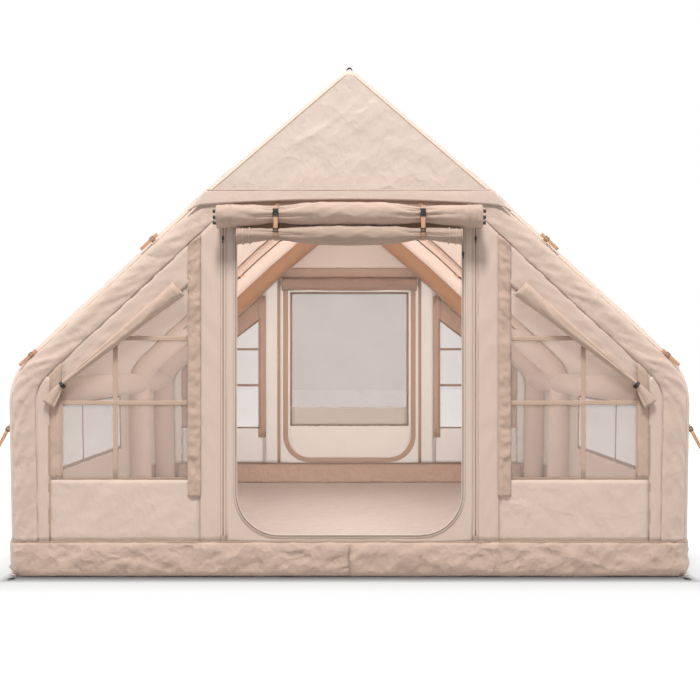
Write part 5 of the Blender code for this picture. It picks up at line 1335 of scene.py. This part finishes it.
tie_paint = webbing_paint("tie_webbing", (0.47, 0.29, 0.195, 1), (0.35, 0.205, 0.135, 1))
for side_name, side in SIDES:
    x = side * TIE_X
    path = [Vector((x, p.x, p.y)) for p in tie_path()]
    loop = strip(f"{side_name}_tie_webbing", path, Vector((0.025, 0, 0)), tie_paint, 0.0018,
                 middle=(x, -1.87, 2.03))
    path = [Vector((x, TIE_BACK - 0.0012, z)) for z in stations(0.01, 2.10, 2.172)]
    tab = strip(f"{side_name}_tie_tab", path, Vector((0.025, 0, 0)), tie_paint, 0.0018, middle=(x, 0, 2.1))
    mouth, top = BUCKLE_MOUTH, BUCKLE_MOUTH + SOCKET_LENGTH
    half = BUCKLE_WIDTH / 2
    mid = (mouth + top) / 2
    socket = blocks(f"{side_name}_tie_socket", [
        ((x, TIE_FRONT - 0.0033, mid), (BUCKLE_WIDTH * 0.80, 0.0014, SOCKET_LENGTH)),
        ((x, TIE_FRONT + 0.0033, mid), (BUCKLE_WIDTH * 0.80, 0.0014, SOCKET_LENGTH)),
        ((x, TIE_FRONT, top - 0.0035), (BUCKLE_WIDTH, BUCKLE_DEPTH, 0.007)),
        ((x - half + 0.0015, TIE_FRONT, mouth + 0.0025), (0.003, BUCKLE_DEPTH, 0.005)),
        ((x + half - 0.0015, TIE_FRONT, mouth + 0.0025), (0.003, BUCKLE_DEPTH, 0.005)),
        ((x - half + 0.0035, TIE_FRONT - 0.0031, mouth + 0.003), (0.007, 0.0018, 0.006)),
        ((x + half - 0.0035, TIE_FRONT - 0.0031, mouth + 0.003), (0.007, 0.0018, 0.006)),
        ((x, TIE_FRONT - 0.0043, mouth + 0.011), (0.010, 0.0010, 0.010)),
    ], plastic, 0.0016)
    lock = blocks(f"{side_name}_tie_ladder_lock", [
        ((x - 0.0138, TIE_FRONT, LOCK_SILL + 0.012), (0.0026, 0.0078, 0.024)),
        ((x + 0.0138, TIE_FRONT, LOCK_SILL + 0.012), (0.0026, 0.0078, 0.024)),
        ((x, TIE_FRONT - 0.0026, LOCK_SILL + 0.0215), (0.030, 0.0024, 0.005)),
        ((x, TIE_FRONT - 0.0026, LOCK_SILL + 0.0025), (0.030, 0.0024, 0.005)),
        ((x, TIE_FRONT - 0.0030, LOCK_SILL + 0.012), (0.028, 0.0016, 0.004)),
    ], plastic, 0.0012)
    for piece in (loop, tab, socket, lock):
        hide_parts(f"{side_name}_door_tie_loop")
    low = mouth - 0.0003
    plug = blocks(f"{side_name}_tie_plug_moulding", [
        ((x, TIE_FRONT, low - 0.004), (BUCKLE_WIDTH * 0.94, BUCKLE_DEPTH, 0.008)),
        ((x - half + 0.003, TIE_FRONT, low - 0.010), (0.005, 0.0066, 0.012)),
        ((x + half - 0.003, TIE_FRONT, low - 0.010), (0.005, 0.0066, 0.012)),
        ((x, TIE_FRONT, low - 0.0145), (BUCKLE_WIDTH, 0.0060, 0.003)),
        ((x - 0.0116, TIE_FRONT, low + 0.0075), (0.0036, 0.0040, 0.016)),
        ((x, TIE_FRONT, low + 0.0075), (0.0032, 0.0040, 0.016)),
        ((x + 0.0116, TIE_FRONT, low + 0.0075), (0.0036, 0.0040, 0.016)),
    ], plastic, 0.0014, body=f"{side_name}_tie_plug")
    path = [Vector((x, TIE_FRONT, z)) for z in stations(0.01, 1.955, low - 0.0125)]
    tail = strip(f"{side_name}_tie_tail", path, Vector((0.024, 0, 0)), webbing, 0.0018,
                 body=f"{side_name}_tie_plug", middle=(x, 0, 2))
    for piece in (plug, tail):
        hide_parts(f"{side_name}_door_tie_buckle")

# Window flaps. Each flap is rolled from the door side down the window's sloping head,
# gathered by a black keeper, and left to flare below it.
flap_paint = canvas_paint("flap_cloth", (0.54, 0.390, 0.305, 1), rumple=0.9, seed=47, crumple=0.4)
FLAP_TOP, FLAP_TIE, FLAP_TAIL = Vector((0.980, 1.664)), Vector((1.662, 1.110)), Vector((1.732, 1.000))
FLAP_WAIST, FLAP_LIFT = 0.0148, 0.006


def flap_places(side):
    """The roll's places: it narrows down to its keeper, then flares below it."""
    places = []
    for flared, start, end, first, last, count in (
        (False, FLAP_TOP, FLAP_TIE, (0.050, 0.034), (FLAP_WAIST, FLAP_WAIST), 30),
        (True, FLAP_TIE, FLAP_TAIL, (FLAP_WAIST, FLAP_WAIST), (0.044, 0.014), 9),
    ):
        way = (end - start).normalized()
        across = Vector((side * way.y, 0, -way.x))
        for i in range(int(flared), count + 1):
            share = i / count
            ease = share ** 0.7 if flared else share
            point = start.lerp(end, share)
            half_a = first[0] + (last[0] - first[0]) * ease
            half_o = first[1] + (last[1] - first[1]) * ease
            lift = FLAP_LIFT * (1 if flared else share)
            spot = Vector((side * point.x, -1.8003 - lift - half_o * 0.953, point.y))
            grip = 1 - share * 0.4 if flared else share ** 0.8
            places.append((spot, across, Vector((0, -1, 0)), half_a, half_o, grip))
    return places


for side_name, side in SIDES:
    flap = wound(f"{side_name}_window_flap", flap_places(side), 5, flap_paint, pleats=6)
    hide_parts(f"{side_name}_flap_roll")
    way = (FLAP_TIE - FLAP_TOP).normalized()
    run = Vector((side * way.x, 0, way.y))
    across = Vector((side * way.y, 0, -way.x))
    out = Vector((0, -1, 0))
    centre = Vector((side * FLAP_TIE.x, -1.8003 - FLAP_LIFT - FLAP_WAIST * 0.953, FLAP_TIE.y)) - run * 0.011
    path = []
    for i in range(25):
        turn = math.tau * i / 24
        path.append(centre + (across * math.cos(turn) + out * math.sin(turn)) * 0.0176)
    keeper = strip(f"{side_name}_keeper_webbing", path, run * 0.020, black_webbing, 0.0018,
                   middle=tuple(centre))
    radial = (across + out).normalized()
    turned = Matrix((run.cross(radial), run, radial)).transposed().to_4x4()
    clip = blocks(f"{side_name}_keeper_buckle", [
        ((0, 0.0085, 0), (0.026, 0.003, 0.0075)),
        ((0, -0.0085, 0), (0.026, 0.003, 0.0075)),
        ((0.0125, 0, 0), (0.004, 0.0195, 0.0078)),
        ((-0.0125, 0, 0), (0.004, 0.0195, 0.0078)),
        ((0.002, 0, 0.0015), (0.015, 0.010, 0.004)),
    ], plastic, 0.0014, turned=turned, at=centre + radial * 0.0213)
    for piece in (keeper, clip):
        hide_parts(f"{side_name}_flap_keeper")

# Guy tabs. Six to an end: a root of canvas sewn into the seam, a ladder lock of moulded
# plastic, and the webbing through it, its free end hanging.
root_paint = canvas_paint("guy_root_cloth", (0.60, 0.43, 0.335, 1), rumple=0.3, seed=52)
brown_plastic = moulded_paint("brown_plastic", (0.16, 0.075, 0.038, 1), (0.30, 0.16, 0.09, 1))


def guy_tab(name, side, y, facing, centre, along, out, root_depth, head, tail, foot_half, nodes):
    """One tab, laid in an upright plane; along and out are ways in that plane."""
    def world(s, n, depth=0.0):
        point = centre + along * s + out * n
        return Vector((side * point.x, y + depth, point.y))

    wide = world(0, 0.010) - world(0, -0.010)
    over = facing * 0.001
    strap = strip(f"{name}_webbing", [world(s, 0, over) for s in stations(0.008, -head, tail)], wide, webbing,
                  0.0018, middle=(0, 0, 1.2))
    turned = Matrix((Vector((side * along.x, 0, along.y)), Vector((side * out.x, 0, out.y)),
                     Vector((0, 1, 0)))).transposed().to_4x4()
    lock = blocks(f"{name}_ladder_lock", [
        ((-0.0115, 0, 0), (0.003, 0.028, 0.0048)),
        ((0.0115, 0, 0), (0.003, 0.028, 0.0048)),
        ((0, 0.0125, 0), (0.026, 0.003, 0.0048)),
        ((0, -0.0125, 0), (0.026, 0.003, 0.0048)),
        ((0.003, 0, facing * 0.0014), (0.0026, 0.024, 0.0022)),
    ], brown_plastic if head > 0.02 else plastic, 0.0008, at=world(0, 0), turned=turned)
    near = -0.013
    if head > 0.02:
        corners = [world(-0.012, near), world(0.012, near),
                   world(foot_half, -root_depth), world(-foot_half, -root_depth)]
    else:
        corners = [world(near, -0.009), world(near, 0.009), *foot_half]
    bottom, top = (corners[0], corners[1]), (corners[3], corners[2])

    def place(a, b):
        low = bottom[0].lerp(bottom[1], a / 0.03)
        high = top[0].lerp(top[1], a / 0.03)
        return low.lerp(high, b / 0.02)

    root = cloth(f"{name}_root", stations(0.008, 0, 0.03), stations(0.005, 0, 0.02), place, root_paint,
                 0.0018)
    for piece in (strap, lock, root):
        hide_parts(*nodes)


EAVE_ALONG = (KNEE - EAVE).normalized() * -1
SLOPE_OUT = turned_in(EAVE_ALONG)
for facing, end in ENDS:
    for side_name, side in SIDES:
        for place_name, reach, sink in (("upper", 0.4165, 0.0157), ("middle", 1.3889, 0.0302)):
            centre = KNEE + EAVE_ALONG * reach - SLOPE_OUT * sink
            depth = 0.0515 - sink
            nodes = [f"{side_name}_guy_tab_{place_name}"] if facing < 0 else ["rear_arch_sleeve"]
            guy_tab(f"{side_name}_{end}_guy_{place_name}", side, facing * 1.787, facing, centre, EAVE_ALONG,
                    SLOPE_OUT, depth, 0.043, 0.089, 0.034, nodes)
        lean = Vector((math.sin(GUY_LEAN), -math.cos(GUY_LEAN)))
        foot = [Vector((side * (wall_face(z) + 0.0003), facing * EAVE_TAB_Y, z)) for z in (0.897, 0.864)]
        nodes = [f"{side_name}_guy_tab_eave"] if facing < 0 else [f"{side_name}_side_wall"]
        guy_tab(f"{side_name}_{end}_guy_eave", side, facing * EAVE_TAB_Y, facing, EAVE_TAB, lean,
                turned_in(lean), 0, 0.012, 0.012, foot, nodes)

# Peak loop. A short loop of black webbing, both its ends sewn flat to the front end of
# the ridge.
path = []
for i in range(17):
    turn = math.pi * i / 16
    x = 0.0195 * math.cos(turn)
    rise = 0.0245 * math.sin(turn)
    path.append(Vector((x, FRONT_ARCH + 0.0128, arch_point(0, RIDGE_RUN - abs(x)).y + 0.0018 + rise)))
peak = strip("peak_webbing", path, Vector((0, 0.025, 0)), black_webbing, 0.0018,
             middle=(0, FRONT_ARCH, 2.96))
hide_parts("peak_loop")

# Rigid small parts. Zip sliders and pulls, the valve and its cap are moulded in black,
# the stake rings are bent from dark steel wire: these keep their CAD shapes.
steel_made, start = start_paint("ring_steel")
spot = start.node("TexCoord", out=3)
scratched = spot.speckle(220, 4, (1, 6, 1))
dull = spot.speckle(60, 3)
bump = scratched.bump(0.3, 0.0002)
steel_tone = (scratched * 0.6 + dull * 0.4).mixed((0.035, 0.034, 0.036, 1), (0.10, 0.10, 0.105, 1))
steel = end_paint(steel_made, start, steel_tone, 0.24 + dull * 0.25, bump, Metallic=0.85)
rigid = {name: plastic for name in frame["nodes"] if "zip_slider" in name}
rigid |= {"inflation_valve": plastic, "valve_cap": plastic}
rigid |= {name: steel for name in frame["nodes"] if name.startswith("stake_ring")}
for name, paint in rigid.items():
    frame["nodes"][name].data.materials[0] = paint

# Arch line. A flat brown tape is sewn down the front of the middle arch each side, and
# black hooks on webbing tabs hold it to the cloth of the roof; two toggles hang under it.
line_paint = webbing_paint("brown_tape", (0.26, 0.13, 0.075, 1), (0.17, 0.08, 0.045, 1), pitch=0.004)
TAPE_INSET = 0.094
TAPE_FACE = MIDDLE_ARCH - 0.0950
for side_name, side in SIDES:
    points = [arch_point(TAPE_INSET, r) for r in arch_runs(0.03, KNEE_RUN - 0.95, RIDGE_RUN - 0.14)]
    path = [Vector((side * p.x, TAPE_FACE, p.y)) for p in points]
    ways = [(b - a).normalized() for a, b in zip(path, path[1:] + path[-1:])]
    ways[-1] = ways[-2]
    wide = [Vector((-w.z, 0, w.x)) * 0.011 for w in ways]
    strip(f"{side_name}_arch_tape", path, wide, line_paint, 0.0012, middle=(0, 6, 1.5))
    for number, x in enumerate((0.602, 0.985)):
        spot = min(path, key=lambda p: abs(abs(p.x) - x))
        blocks(f"{side_name}_arch_hook_{number}", [
            ((0, 0, 0), (0.020, 0.006, 0.009)),
            ((0.007, 0, -0.006), (0.006, 0.006, 0.014)),
            ((-0.007, 0, -0.004), (0.005, 0.006, 0.010)),
        ], plastic, 0.0012, at=spot - Vector((0, 0.004, 0)))
        reach = Vector((-side * 0.052, 0, 0.072)) if number == 0 else Vector((-side * 0.040, 0, 0.026))
        tab_path = [spot + reach * t - Vector((0, 0.003, 0)) for t in (0, 0.5, 1)]
        strip(f"{side_name}_arch_hook_tab_{number}", tab_path, Vector((0.017, 0, 0.010 * side)), webbing,
              0.0016, middle=(0, 6, 1.5))
    for number, (x, z) in enumerate(((0.859, 2.194), (1.053, 2.014))):
        blocks(f"{side_name}_toggle_{number}", [((0, 0, 0), (0.013, 0.012, 0.016))], plastic, 0.004,
               at=Vector((side * x, 1.590, z)))
